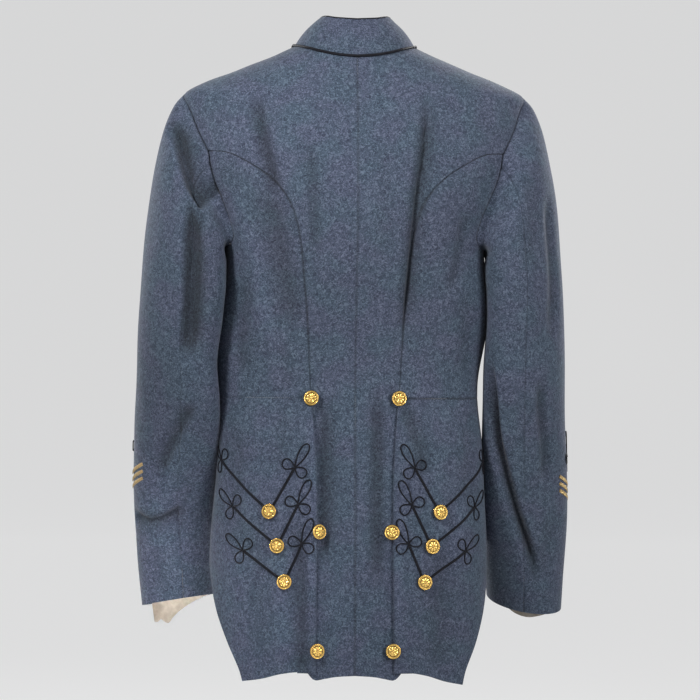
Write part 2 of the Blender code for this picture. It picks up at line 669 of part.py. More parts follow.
def build_collar(wool, cord):
    """The standing collar, hooked at the centre front, and the two cords of piping round it."""
    base, top, body_normals = collar_shape()
    rise = unit(top - base)
    around = np.gradient(base, axis=0)
    outward = unit(np.cross(around, rise)) * -1
    outward *= np.sign((outward * base * (1, 1, 0)).sum(-1, keepdims=True))
    start = base + rise * COLLAR_START
    shares = np.array(COLLAR_SHARES)[:, None, None]
    bulge = COLLAR_BULGE * np.sin(math.pi * shares)
    points = start[None] + (top - start)[None] * shares + outward[None] * bulge
    normals = np.repeat(outward[None], len(shares), axis=0)
    cloth_wall("collar", points, normals, LEFT, wool, COLLAR_CLOTH)
    wedge = unit(body_normals + outward)
    tube("collar_piping_base", base + wedge * (PIPING_RADIUS * PIPING_STAND + SEAM_GAP), PIPING_RADIUS, cord)
    above = unit(np.cross(outward, np.gradient(top, axis=0)))
    above *= np.sign((above * rise).sum(-1, keepdims=True))
    middle = top - outward * COLLAR_CLOTH / 2
    tube("collar_piping_top", middle + above * (PIPING_RADIUS + SEAM_GAP), PIPING_RADIUS, cord)


def tube(name, points, radius, material):
    """A round cord through the points, with filled ends."""
    curve = bpy.data.curves.new(name, "CURVE")
    curve.dimensions = "3D"
    curve.bevel_depth = radius * MM
    curve.bevel_resolution = 1
    curve.use_fill_caps = True
    spline = curve.splines.new("POLY")
    spline.points.add(len(points) - 1)
    spline.points.foreach_set("co", np.column_stack((points * MM, np.ones(len(points)))).ravel())
    return add_object(name, curve, material)


def petal(turn, length, width, segments):
    """Middle line of a loop of braid that leaves the knot and comes back to it: its way out is
    L (1 - cos t) / 2, and its way across grows with sin t and the square root of the way out."""
    t = np.linspace(0, 2 * math.pi, segments + 3)[1:-1]
    out = length * (1 - np.cos(t)) / 2
    across = width / 2 * PETAL_SPREAD * np.sin(t) * np.sqrt(out / length)
    angle = math.radians(turn)
    return np.column_stack(
        (out * math.cos(angle) + across * math.sin(angle), out * math.sin(angle) - across * math.cos(angle))
    )


def strip_edges(line, width, start_pair, end_pair):
    """Left and right edges of a strip along a line, joined to given corner points at its ends."""
    way = unit(np.gradient(line, axis=0))
    side = np.column_stack((-way[:, 1], way[:, 0])) * width / 2
    left, right = line + side, line - side
    if start_pair is not None:
        left[0], right[0] = start_pair
    if end_pair is not None:
        left[-1], right[-1] = end_pair
    return left, right


class Braid:
    """Flat braid as one net of strips, drawn in the plane of the cloth (along, up)."""

    def __init__(self):
        self.points, self.faces = [], []

    def corner(self, point):
        """Number of a point, which strips share where they meet."""
        for k, old in enumerate(self.points):
            if abs(old[0] - point[0]) + abs(old[1] - point[1]) < 1e-6:
                return k
        self.points.append(tuple(point))
        return len(self.points) - 1

    def strip(self, left, right):
        """Faces between the two edges of a strip."""
        numbers = [(self.corner(a), self.corner(b)) for a, b in zip(left, right)]
        self.faces += [(b[0], a[0], a[1], b[1]) for a, b in zip(numbers, numbers[1:])]

    def knot(self, centre, turn):
        """A knot with two round loops and a leaf that points along turn. It gives the edge where
        its arm joins on."""
        step = 2 * math.pi / KNOT_CORNERS
        tilt = turn - QUARTER
        angles = tilt - QUARTER - step / 2 + step * np.arange(KNOT_CORNERS)
        corners = centre + KNOT_RADIUS * np.column_stack((np.cos(angles), np.sin(angles)))
        self.faces.append([self.corner(point) for point in corners])
        for k, (_, direction, length, width, segments) in enumerate(KNOT_LOOPS):
            line = centre + petal(direction + math.degrees(tilt), length, width, segments)
            first, middle, last = corners[1 + 2 * k], corners[2 + 2 * k], corners[(3 + 2 * k) % KNOT_CORNERS]
            left, right = strip_edges(line, BRAID_WIDTH, (middle, first), (middle, last))
            self.strip(left, right)
        return corners[1], corners[0]

    def arm(self, start_pair, line):
        """A straight run of braid whose line goes on from a knot."""
        left, right = strip_edges(line, BRAID_WIDTH, start_pair, None)
        self.strip(left, right)

    def solid(self, name, place, height, material):
        """The net as a closed solid: place(points, lift) puts it on the cloth."""
        flat = np.array(self.points)
        count = len(flat)
        edges = {}
        faces = []
        for face in self.faces:
            faces.append(list(face))
            faces.append([k + count for k in reversed(face)])
            for a, b in zip(face, list(face[1:]) + [face[0]]):
                edges[(a, b)] = edges.get((a, b), 0) + 1
        for a, b in edges:
            if (b, a) not in edges:
                faces.append((b, a, a + count, b + count))
        vertices = np.concatenate((place(flat, TRIM_GAP + height), place(flat, TRIM_GAP)))
        return closed_mesh(name, vertices, faces, material)


def arm_line(start, end):
    """Points along a straight arm, no further apart than ARM_STEP."""
    count = max(2, int(np.linalg.norm(end - start) / ARM_STEP) + 2)
    return start + (end - start) * np.linspace(0, 1, count)[:, None]


def on_skirt(side):
    """Function that places (along, level) points of the skirt's cloth at a lift over its face."""

    def place(flat, lift):
        along, levels = flat[:, 0], flat[:, 1]
        turns = turn_along(along, levels, side)
        body, lean, _ = torso_frame(turns, levels, side)
        folds = smooth(PLEAT_LINE[:, 0], PLEAT_LINE[:, 1], levels)
        starts = np.array([along_at(turn_at(f, z, side), z, side) for f, z in zip(folds, levels)])
        return mirrored(body + lean * (skirt_rise(along - starts) + lift)[:, None], side)

    return place


def build_skirt_braids(side, cord, gilt):
    """Three Vs of braid with a knot at each arm's end, and a button on each point."""
    for name, *places in SKIRT_BRAIDS:
        point, inner, outer = (
            np.array((along_at(float(turn_at(across, level, side)), level, side), level))
            for across, level in zip(places[::2], places[1::2])
        )
        braid = Braid()
        centre = [point + np.array((0, -BRAID_WIDTH / 2)), point + np.array((0, BRAID_WIDTH / 2))]
        for k, hub in enumerate((inner, outer)):
            way = unit(hub - point)
            pair = braid.knot(hub, math.atan2(way[1], way[0]))
            line = arm_line(hub - way * KNOT_RADIUS, point)
            left, right = strip_edges(line, BRAID_WIDTH, pair, None)
            left[-1], right[-1] = (centre[0], centre[1]) if k else (centre[1], centre[0])
            braid.strip(left, right)
        place = on_skirt(side)
        braid.solid(f"skirt_braid_{name}_{SIDE_NAMES[side]}", place, BRAID_HEIGHT, cord)
        level_point = place(point[None], TRIM_GAP + BRAID_HEIGHT + SEAM_GAP)[0]
        normal = place(point[None], 100.0)[0] - place(point[None], 0.0)[0]
        place_button(f"braid_button_{name}_{SIDE_NAMES[side]}", level_point, normal, gilt)


def place_button(name, point, normal, material):
    """A turned button that stands on a point in millimetres, facing along a normal."""
    mesh = bpy.data.meshes.new(name)
    profile = [(out * MM, 0.0, up * MM) for out, up in BUTTON_OUTLINE]
    mesh.from_pydata(profile, [(k, k + 1) for k in range(len(profile) - 1)], [])
    thing = add_object(name, mesh, material)
    screw = thing.modifiers.new("turned", "SCREW")
    screw.axis = "Z"
    screw.steps = screw.render_steps = BUTTON_STEPS
    screw.use_merge_vertices = True
    screw.merge_threshold = 0.01 * MM
    screw.use_smooth_shade = True
    facing = Vector(unit(np.asarray(normal, float))).to_track_quat("Z", "Y")
    thing.matrix_world = Matrix.Translation(Vector(point) * MM) @ facing.to_matrix().to_4x4()
    return thing


def build_pleat_buttons(side, material):
    """Three buttons down each pleat: at the hip, on the fold and near the hem."""
    names = ("hip", "middle", "bottom")
    for name, (across, level) in zip(names, (HIP_BUTTON, MIDDLE_BUTTON, BOTTOM_BUTTON)):
        turn = turn_at(across, level, side)
        body, lean, _ = torso_frame(turn, level, side)
        point = mirrored(body + lean * (PLEAT_RISE + TRIM_GAP), side)
        place_button(f"pleat_button_{name}_{SIDE_NAMES[side]}", point, mirrored(lean, side), material)


def build_front_buttons(material):
    """The row of buttons down the overlap of the fronts."""
    levels = np.linspace(FRONT_BUTTON_TOP, FRONT_BUTTON_BOTTOM, FRONT_BUTTONS)
    for number, level in enumerate(levels, 1):
        body, lean, _ = torso_frame(math.pi, level, LEFT)
        place_button(f"front_button_{number}", body + lean * TRIM_GAP, lean, material)


def on_sleeve(side):
    """Function that places (round, level) points of the sleeve's outer side: round is the distance
    on the cloth behind the sleeve's outermost line."""
    phases = np.radians(np.linspace(-TRIM_TURN, TRIM_TURN, 81))
    rings = sleeve_rings(np.linspace(*TRIM_STATIONS, 61), phases, side)
    leans = unit(np.cross(np.gradient(rings, axis=1), np.gradient(rings, axis=0))) * -1
    runs = np.linalg.norm(np.diff(rings, axis=1), axis=-1)
    length = np.concatenate((np.zeros((len(rings), 1)), np.cumsum(runs, axis=1)), axis=1)
    length = length - length[:, 40:41]

    def at(away, values):
        return np.array([[np.interp(away, a, row[:, k]) for k in range(3)] for a, row in zip(length, values)])

    def place(flat, lift):
        placed = []
        for away, level in flat:
            line, lean = at(away, rings), at(away, leans)
            share = [np.interp(-level, -line[:, 2], values) for values in (*line.T, *lean.T)]
            placed.append(np.array(share[:3]) + np.array(share[3:]) * lift)
        return mirrored(np.array(placed), side)

    return place


def build_sleeve_trim(side, lace, cord):
    """Three pointed bars of gold lace on the outer side of a sleeve, and a knot of braid above."""
    place = on_sleeve(side)
    for number in range(3):
        level = BAR_LEVEL[side] - BAR_SPACING * number
        round_way = np.linspace(-BAR_HALF_SPAN, BAR_HALF_SPAN, 9)
        middle = level - BAR_RISE * (1 - np.abs(round_way) / BAR_HALF_SPAN)
        bar = Braid()
        line = np.column_stack((round_way, middle))
        half = np.array((0, BAR_WIDTH / 2))
        bar.strip(line + half, line - half)
        bar.solid(f"sleeve_bar_{number + 1}_{SIDE_NAMES[side]}", place, BAR_HEIGHT, lace)
    knot = Braid()
    centre = np.array((-SLEEVE_KNOT_AHEAD[side], BAR_LEVEL[side] + SLEEVE_KNOT_RISE))
    pair = knot.knot(centre, QUARTER)
    stem = arm_line(centre - np.array((0, KNOT_RADIUS)), centre - np.array((0, SLEEVE_KNOT_STEM)))
    knot.arm(pair, stem)
    knot.solid(f"sleeve_braid_{SIDE_NAMES[side]}", place, BRAID_HEIGHT, cord)


def make_material(name, colour, roughness, metallic):
    """A plain material with one colour."""
    material = bpy.data.materials.new(name)
    material.use_nodes = True
    shader = material.node_tree.nodes["Principled BSDF"]
    shader.inputs["Base Color"].default_value = (*colour, 1.0)
    shader.inputs["Roughness"].default_value = roughness
    shader.inputs["Metallic"].default_value = metallic
    return material


for old in list(bpy.data.objects):
    bpy.data.objects.remove(old)
coat = bpy.data.collections.new("tail_coat")
bpy.context.scene.collection.children.link(coat)

wool, soutache, cream, brass, gold = (make_material(*finish) for finish in (WOOL, PIPING, LINING, GILT, LACE))
for half in (LEFT, RIGHT):
    build_back(half, wool)
    build_side_back(half, wool)
    build_front(half, wool)
    build_skirt(half, wool)
    build_sleeve(half, wool)
    build_cuff_lining(half, cream)
    build_skirt_braids(half, soutache, brass)
    build_pleat_buttons(half, brass)
    build_sleeve_trim(half, gold, soutache)
build_collar(wool, soutache)
build_front_buttons(brass)
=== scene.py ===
"""Dress tail coat with hussar braiding, filled out as it is worn and seen from behind.

Tables and functions work in millimetres in the frame's axes: +X to the wearer's left, -Y to the front,
+Z up. They describe the left half, and a piece of the right half is mirrored when its mesh is made.
"""

import math

import bpy
import numpy as np
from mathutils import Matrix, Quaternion, Vector


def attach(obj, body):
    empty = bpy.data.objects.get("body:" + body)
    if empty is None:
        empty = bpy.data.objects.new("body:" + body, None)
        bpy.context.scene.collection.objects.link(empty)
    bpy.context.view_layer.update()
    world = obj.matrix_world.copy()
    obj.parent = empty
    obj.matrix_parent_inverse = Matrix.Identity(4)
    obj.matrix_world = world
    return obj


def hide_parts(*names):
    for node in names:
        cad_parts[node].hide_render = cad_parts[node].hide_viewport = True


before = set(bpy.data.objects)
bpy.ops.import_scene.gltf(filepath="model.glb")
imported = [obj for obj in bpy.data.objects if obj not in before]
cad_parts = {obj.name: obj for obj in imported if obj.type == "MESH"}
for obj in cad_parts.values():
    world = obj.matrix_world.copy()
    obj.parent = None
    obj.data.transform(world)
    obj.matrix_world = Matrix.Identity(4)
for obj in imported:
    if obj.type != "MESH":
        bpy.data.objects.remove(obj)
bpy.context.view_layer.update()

# Camera and studio: a seamless bowl of pale paper, a key lamp high on the left, a broad fill on the
# right, a narrow lamp on the left cuff and two for the coat's front. The coat hangs clear of the floor.
MM = 0.001
AIM = Vector((2.6, 0.0, -381.3)) * MM
CAMERA_DISTANCE, LENS, SENSOR = 4.0, 158.2, 36.0
AZIMUTH, ROLL = math.radians(177), math.radians(0.45)
FLOOR_LEVEL, BOWL_RADIUS, BOWL_CURVE, BOWL_RIM, BOWL_SPOKES = -1.0, 9.0, 3.0, 6.0, 96
PAPER = (0.30, 0.30, 0.30, 1.0)
PAPER_GLOW = 0.62
# Lamps: name, place, what it is aimed at, size, spread of its beam in degrees, power
LAMPS = (
    ("key", (1.15, 1.2, 0.7), (0.0, 0.05, -0.2), 0.35, 60, 2.9),
    ("fill", (-2.2, 2.6, 0.7), (-0.12, 0.0, -0.2), 1.6, 50, 7.4),
    ("cuff_fill", (0.9, 3.0, -1.0), (0.245, -0.06, -0.765), 0.3, 9, 0.41),
    ("front_key", (-1.15, -1.2, 0.7), (0.0, -0.05, -0.2), 0.35, 60, 3.1),
    ("front_fill", (2.2, -2.6, 0.7), (0.12, 0.0, -0.2), 1.6, 50, 7.2),
)
SKY = (0.9, 0.94, 1.0, 1.0)
SKY_STRENGTH = 0.17
# Faces that meet at more than this turn keep a sharp edge
SHARP_TURN = math.radians(62)


def link(thing):
    """The object, put in the scene."""
    bpy.context.scene.collection.objects.link(thing)
    return thing


camera_data = bpy.data.cameras.new("camera")
camera_data.lens = LENS
camera_data.sensor_width = SENSOR
camera_data.clip_end = 100
camera = link(bpy.data.objects.new("camera", camera_data))
backwards = Vector((math.sin(AZIMUTH), -math.cos(AZIMUTH), 0))
camera.location = AIM + backwards * CAMERA_DISTANCE
camera.rotation_mode = "QUATERNION"
camera.rotation_quaternion = (-backwards).to_track_quat("-Z", "Y") @ Quaternion((0, 0, 1), ROLL)
bpy.context.scene.camera = camera
bpy.context.scene.view_settings.view_transform = "Standard"

for name, place, target, size, spread, power in LAMPS:
    lamp = bpy.data.lights.new(name, "AREA")
    lamp.size = size
    lamp.spread = math.radians(spread)
    lamp.energy = power
    lamp_object = link(bpy.data.objects.new(name, lamp))
    lamp_object.location = place
    lamp_object.rotation_euler = (Vector(target) - Vector(place)).to_track_quat("-Z", "Y").to_euler()
    lamp_object.visible_camera = False
world = bpy.data.worlds.new("studio")
world.use_nodes = True
world.node_tree.nodes["Background"].inputs["Color"].default_value = SKY
world.node_tree.nodes["Background"].inputs["Strength"].default_value = SKY_STRENGTH
bpy.context.scene.world = world


def new_material(name, colour, roughness, **inputs):
    """A material with its shader, whose uniform values sit on the shader's own sockets."""
    material = bpy.data.materials.new(name)
    material.use_nodes = True
    tree = material.node_tree
    shader = tree.nodes["Principled BSDF"]
    shader.inputs["Base Color"].default_value = colour
    shader.inputs["Roughness"].default_value = roughness
    for key, value in inputs.items():
        shader.inputs[key.replace("_", " ").title().replace("Ior", "IOR")].default_value = value
    return material, tree, shader


def make_mesh(name, vertices, faces, material):
    """An object from points in millimetres and faces, smooth but for its corners."""
    mesh = bpy.data.meshes.new(name)
    mesh.from_pydata((vertices * MM).tolist(), [], faces.tolist())
    mesh.validate()
    mesh.shade_smooth()
    mesh.set_sharp_from_angle(angle=SHARP_TURN)
    mesh.materials.append(material)
    return link(bpy.data.objects.new(name, mesh))


def grid_faces(rows, columns, ring=False):
    """Four-cornered faces of a grid of points, whose columns may close on themselves."""
    index = np.arange(rows * columns).reshape(rows, columns)
    if ring:
        index = np.concatenate((index, index[:, :1]), axis=1)
    corners = (index[:-1, :-1], index[:-1, 1:], index[1:, 1:], index[1:, :-1])
    return np.stack(corners, -1).reshape(-1, 4)


def spokes(count):
    """Evenly spaced turns round a circle."""
    return np.linspace(0, 2 * math.pi, count + 1)[:-1]


glow = {"emission_color": (1, 1, 1, 1), "emission_strength": PAPER_GLOW}
paper, _, _ = new_material("pale_paper", PAPER, 0.9, **glow)
bend = np.linspace(0, math.pi / 2, 17)
radii = np.concatenate(((0.01, 3.0), BOWL_RADIUS - BOWL_CURVE * (1 - np.sin(bend)), (BOWL_RADIUS,)))
heights = np.concatenate(((0.0, 0.0), BOWL_CURVE * (1 - np.cos(bend)), (BOWL_RIM,))) + FLOOR_LEVEL
spin = spokes(BOWL_SPOKES)
heights = np.repeat(heights[:, None], BOWL_SPOKES, axis=1)
bowl = np.stack((radii[:, None] * np.cos(spin), radii[:, None] * np.sin(spin), heights), -1)
bowl_faces = grid_faces(len(radii), len(spin), ring=True)
bowl = make_mesh("paper_bowl", bowl.reshape(-1, 3) / MM, bowl_faces, paper)
bowl.visible_diffuse = False


# The back: two halves cut in one from collar to hem, joined down the centre. It is milled blue-grey
# wool, 2 mm thick, and its lower part runs on under the pleats of the skirts.
LEFT, RIGHT = 1, -1
SIDE_NAMES = {LEFT: "left", RIGHT: "right"}
SIDES = (LEFT, RIGHT)
CLOTH = 2.0
WAIST = -443.0
QUARTER = math.pi / 2
CHEST_TURN = math.radians(92)
# Level sections of the body: level, half width, depth behind and in front of the shoulder line,
# squareness of the curve
SECTIONS = np.array(
    (
        (-830, 180, 127, 118, 2.40),
        (-720, 179, 121, 117, 2.40),
        (-645, 179, 114, 114, 2.40),
        (-575, 175, 106, 111, 2.40),
        (-500, 169.5, 95, 107, 2.40),
        (-443, 162.5, 86, 104, 2.35),
        (-420, 161, 85, 105, 2.35),
        (-380, 161.5, 88, 109, 2.35),
        (-330, 164, 97, 116, 2.40),
        (-252, 168, 113, 122, 2.45),
        (-215, 176, 117.5, 119, 2.45),
        (-190, 188, 118, 114, 2.40),
        (-160, 203, 116, 106, 2.35),
        (-128, 216, 112, 93, 2.30),
        (-95, 221, 105, 80, 2.20),
        (-70, 221, 97, 70, 2.10),
        (-49, 217, 89, 64, 2.00),
        (-35, 190, 83.5, 61, 1.95),
        (-19, 150, 77.5, 60, 1.90),
        (-4, 115, 73, 60, 1.85),
        (12, 79, 68, 60, 1.80),
    )
)
FLARE = {LEFT: 4.0, RIGHT: -1.8}
FLARE_LEVEL, FLARE_REACH = -650.0, 110.0
# Under the arms the body stands out to the sleeves: most at this level, by how much, over what reach
SIDE_SWELL = {LEFT: (-398.0, 17.0, 80.0), RIGHT: (-335.0, 14.0, 70.0)}
# Rows of the back above the waist: its inner end on the neckline or the centre-back seam, its outer
# end on the shoulder seam, the armhole or the curved back seam (across and level of each)
BACK_ROWS = (
    (75, 10.0, 82, 10.6),
    (60, 5.0, 115, -4.0),
    (40, -1.0, 150, -19.0),
    (20, -4.6, 190, -35.0),
    (0, -6.0, 217, -49.0),
    (0, -32, 213.5, -72),
    (0, -66, 204, -98),
    (0, -108, 190, -128),
    (0, -128, 165, -131),
    (0, -147, 138, -144.5),
    (0, -166, 110, -164),
    (0, -190, 89, -189),
    (0, -218, 77, -219),
    (0, -252, 71, -252),
    (0, -290, 67, -290),
    (0, -330, 63, -330),
    (0, -370, 60, -370),
    (0, -410, 57.5, -410),
    (0, -442.7, 55.5, -442.7),
)
SHOULDER_ROW, APEX_ROW = 4, 7
# Points of the armhole under the arm, behind and in front of its lowest one (across, level)
ARMHOLE_BEHIND = ((186.5, -146), (180.5, -167), (170.5, -190), (159.5, -218), (155.5, -239), (163, -248.5))
ARMHOLE_LOWEST = -252.0
ARMHOLE_BEFORE = ((163.5, -248.5), (157, -239), (159, -218), (165, -190), (171, -160))
ARMHOLE_BEFORE += ((181, -128), (196, -98), (211, -72))
PLEAT_LINE = np.array(((-800, 49.5), (-690, 48.5), (-580, 48), (-520, 49.5), (-470, 53), (-443, 55.5)))
PLEAT_UNDER = 24.0
# Length of the coat below the waist seam, for the rows of its meshes
BELOW_WAIST = 347.0
BACK_HEM = np.array(((0, -790.5), (0.36, -792.5), (0.5, -794.5), (0.7, -795), (0.8, -787), (1, -786)))
BACK_DIP, BACK_DIP_RUN = 3.3, 15.0
WAIST_DIP = 2.5
# Level of the waist seam's groove
WAIST_GROOVE = WAIST + 0.3
CLOTH_STEP = 3.05
# Columns lie at these distances from a seam, and the cloth sinks by the dip within the reach
SEAM_STOPS = np.array((0.0, 0.7, 1.5, 2.6, 4.2))
SEAM_DIP, SEAM_REACH = 1.1, 1.5
CENTRE_DIP = 0.7
ARMHOLE_DIP, WAIST_SEAM_DIP = 0.5, 0.25
SEAM_CLEAR, CENTRE_CLEAR = 0.03, 0.02
# Painted shade in a seam's groove: the wool is darkened as in a fold this many times as deep
SEAM_SHADE = 8.0
# and this many times more painted shade in the waist seam, which shows plainly only on the right
WAIST_SHADE = {LEFT: 1.5, RIGHT: 4.5}
# Folds seen from behind, from top to bottom: points (across, level), reach towards the centre, reach
# away from it, depth. A negative depth is a ridge
BACK_FOLDS = {
    LEFT: (
        (((130, -52), (122, -105), (113, -146), (101, -196)), 8, 10, 8.0),
        (((60, -112), (57, -172), (55, -210), (54, -275)), 7, 8, 4.2),
        (((118, -165), (97, -267), (79, -370)), 15, 17, 5.5),
        (((166, -160), (147, -217), (128, -274), (119, -331), (109, -392)), 11, 12, -3.0),
        (((142, -285), (145, -330), (147, -375), (147, -425)), 11, 9, 4.2),
        (((169, -326), (160, -336), (150, -344)), 2.2, 2.6, 1.4),
        (((96, -372), (88, -410), (84, -440)), 8, 8, 1.5),
        (((41, -432), (40, -520), (41, -600), (42, -665)), 13, 8, 7.0),
    ),
    RIGHT: (
        (((89, -40), (88, -88), (84, -131), (77, -178), (71, -240), (64, -318), (58.6, -380)), 8, 14, 7.5),
        (((89, -44), (88, -88), (84, -131), (77, -178), (71, -240), (64, -318), (59, -378)), 1.8, 2.6, 3.6),
        (((138, -200), (134, -242), (130, -267), (120, -316)), 7, 8, 4.0),
        (((33, -110), (36, -190), (31, -280)), 11, 11, 1.4),
        (((2, -322), (20, -319), (38, -315)), 3, 4, 0.9),
        (((2, -397), (20, -393), (38, -387)), 3, 4, 0.9),
        (((144, -300), (144, -360), (142, -425)), 10, 9, 2.4),
        (((28.4, -415), (29, -520), (28.4, -620), (29, -700)), 9, 9, 7.0),
    ),
}
# Folds of the skirts near their pleats, which the cloth under them follows
PLEAT_FOLDS = {
    LEFT: (
        (((75, -590), (70, -680), (67, -820)), 8, 9, 6.0),
        (((55, -452), (54, -540), (55, -720)), 4, 7, -2.6),
    ),
    RIGHT: (
        (((60, -449), (76.8, -485), (86.9, -514), (89.4, -550)), 9, 10, 6.0),
        (((55, -560), (54, -650), (55, -790)), 4, 8, -2.2),
    ),
}
FOLD_FADE = 0.22
WAVE_COUNT, WAVE_LENGTHS, WAVE_HEIGHT = 14, (45.0, 150.0), 0.16
WOOL_DARK, WOOL_MIDDLE = (0.023, 0.034, 0.060, 1), (0.058, 0.081, 0.124, 1)
WOOL_PALE = (0.140, 0.178, 0.245, 1)
WOOL_TEAL, WOOL_VIOLET = (0.93, 1.01, 1.0, 1), (1.06, 0.96, 1.03, 1)
# From a ridge to a deep fold, in mm, the wool's colour is multiplied from the first tone to the second: a
# painted highlight on ridges and painted shade in folds and seam grooves
CREASE_DEPTHS, FOLD_PAINTED_LIGHT_AND_SHADE = (-3.0, 10.0), (1.15, 0.36)


def smooth(places, values, at):
    """Curve through (places, values): cubic pieces whose slopes are those of the parabola through
    each three neighbours."""
    at = np.clip(at, places[0], places[-1])
    run = np.diff(places)
    chord = np.diff(values) / run
    inner = (chord[:-1] * run[1:] + chord[1:] * run[:-1]) / (run[1:] + run[:-1])
    slope = np.concatenate((chord[:1], inner, chord[-1:]))
    k = np.clip(np.searchsorted(places, at, side="right") - 1, 0, len(run) - 1)
    t = (at - places[k]) / run[k]
    rise = values[k] * (1 + 2 * t) * (1 - t) ** 2 + values[k + 1] * t * t * (3 - 2 * t)
    return rise + run[k] * (slope[k] * t * (1 - t) ** 2 - slope[k + 1] * t * t * (1 - t))


def curve_at(places, points, at):
    """Points of the smooth curve that passes points at known places."""
    return np.stack([smooth(places, column, at) for column in points.T], -1)


def ease(low, high, at):
    """0 below low, 1 above high, and an S-curve between."""
    t = np.clip((np.asarray(at, float) - low) / (high - low), 0, 1)
    return t * t * (3 - 2 * t)


def unit(vectors):
    """The vectors at length 1."""
    return vectors / np.maximum(np.linalg.norm(vectors, axis=-1, keepdims=True), 1e-9)


def section(level, side):
    """Half width, back depth, front depth and squareness of the body at each level."""
    half, back, front, square = (smooth(SECTIONS[:, 0], SECTIONS[:, k], level) for k in (1, 2, 3, 4))
    spread = np.exp(-(((level - FLARE_LEVEL) / FLARE_REACH) ** 2))
    middle, swell, reach = SIDE_SWELL[side]
    arm = swell * np.exp(-(((level - middle) / reach) ** 2))
    return half + FLARE[side] * spread + arm, back, front, square


def torso(turn, level, side):
    """Outer face of the body at a turn round from the centre back and a level. Each section is
    x = w |sin|^(2/n), y = d |cos|^(2/n), with the signs kept, for half width w, depth d and
    squareness n."""
    turn, level = np.broadcast_arrays(np.asarray(turn, float), np.asarray(level, float))
    half, back, front, square = section(level, side)
    sine, cosine = np.sin(turn), np.cos(turn)
    across = half * np.sign(sine) * np.abs(sine) ** (2 / square)
    depth = np.where(cosine > 0, back, front) * np.sign(cosine) * np.abs(cosine) ** (2 / square)
    return np.stack((across, depth, level), -1)


def torso_frame(turn, level, side):
    """Point, outward normal and level tangent of the body."""
    step_turn, step_level = 0.006, 1.5
    along = torso(turn + step_turn, level, side) - torso(turn - step_turn, level, side)
    up = torso(turn, level + step_level, side) - torso(turn, level - step_level, side)
    return torso(turn, level, side), unit(np.cross(along, up)) * -1, unit(along)


def turn_at(across, level, side, front=False):
    """Turn at which the section at a level passes a place across, on the back or the front."""
    half, _, _, square = section(np.asarray(level, float), side)
    share = np.clip(np.asarray(across, float) / half, -1, 1)
    turn = np.arcsin(np.sign(share) * np.abs(share) ** (square / 2))
    return math.pi - turn if front else turn


def row_interp(at, known, values):
    """Row by row, the values at places, in straight lines between known places that rise."""
    k = (known[:, None, :] <= at[:, :, None]).sum(-1) - 1
    k = np.clip(k, 0, known.shape[1] - 2)
    low, high = np.take_along_axis(known, k, 1), np.take_along_axis(known, k + 1, 1)
    first, last = np.take_along_axis(values, k, 1), np.take_along_axis(values, k + 1, 1)
    return first + (last - first) * np.clip((at - low) / np.maximum(high - low, 1e-9), 0, 1)


def run_lengths(points):
    """Length along each row of points, from its start."""
    steps = np.linalg.norm(np.diff(points, axis=1), axis=-1)
    return np.concatenate((np.zeros((len(points), 1)), np.cumsum(steps, axis=1)), axis=1)


def body_rings(levels, side):
    """Turns from the centre back to the centre front, and the cloth's length to each, by level."""
    turns = np.broadcast_to(np.linspace(0, math.pi, 141), (len(levels), 141))
    return turns, run_lengths(torso(turns, np.asarray(levels, float)[:, None], side))


def along_at(turn, levels, side):
    """Distance along the cloth from the centre back to a turn, at each level."""
    turns, length = body_rings(levels, side)
    return row_interp(np.asarray(turn, float)[:, None], turns, length)[:, 0]


def turn_along(along, levels, side):
    """Turn at a distance along the cloth from the centre back, for arrays of places and levels."""
    turns, length = body_rings(np.ravel(levels), side)
    return row_interp(np.ravel(along)[:, None], length, turns)[:, 0].reshape(np.shape(along))


def pleat_along(levels, side):
    """Distance along the cloth from the centre back to a pleat's fold, at each level."""
    folds = smooth(PLEAT_LINE[:, 0], PLEAT_LINE[:, 1], levels)
    return along_at(turn_at(folds, levels, side), levels, side)


def ends_on_body(pairs, side, front=False):
    """(turn, level) of places (across, level) on the back or the front."""
    across, level = np.array(pairs, float).T
    return np.stack((turn_at(across, level, side, front), level), -1)


def border_at(ends, at, corners=()):
    """(turn, level) along a border through its ends, numbered from 0, that is smooth but for its
    corners."""
    numbers = np.arange(len(ends), dtype=float)
    placed = np.zeros((len(at), 2))
    breaks = (0, *corners, len(ends) - 1)
    for low, high in zip(breaks, breaks[1:]):
        here, known = (at >= low) & (at <= high), slice(low, high + 1)
        for k in (0, 1):
            placed[here, k] = smooth(numbers[known], ends[known, k], at[here])
    return placed


def armhole_at(number, side):
    """(turn, level) round the armhole, which is a closed smooth curve: from the shoulder down the
    back, under the arm and up the front."""
    behind = [row[2:] for row in BACK_ROWS[SHOULDER_ROW : APEX_ROW + 1]]
    behind = ends_on_body(behind + list(ARMHOLE_BEHIND), side)
    before = ends_on_body(ARMHOLE_BEFORE, side, front=True)
    ends = np.concatenate((behind, ((CHEST_TURN, ARMHOLE_LOWEST),), before))
    around = np.arange(-4, len(ends) + 9)
    ends = ends[around % len(ends)]
    return curve_at(around.astype(float), ends, number)


ARMHOLE_COUNT = 19
UNDERARM = 10


def sub_rows(ends, corners, close_end=False):
    """Row numbers with about CLOTH_STEP between them along a border, closer near a last seam."""
    numbers = np.arange(len(ends), dtype=float)
    fine = np.linspace(0, len(ends) - 1, 40 * len(ends))
    placed = border_at(ends, fine, corners)
    path = torso(placed[:, 0], placed[:, 1], LEFT)
    length = run_lengths(path[None])[0]
    knots = np.interp(numbers, fine, length)
    spans = zip(knots, knots[1:], np.maximum(1, np.round(np.diff(knots) / CLOTH_STEP)).astype(int))
    stops = [np.linspace(a, b, count, endpoint=False) for a, b, count in spans]
    stops = np.concatenate((*stops, knots[-1:]))
    if close_end:
        stops = np.concatenate((stops[stops < knots[-1] - 5], (knots[-1] - SEAM_STOPS)[::-1]))
    return np.interp(stops, length, fine)


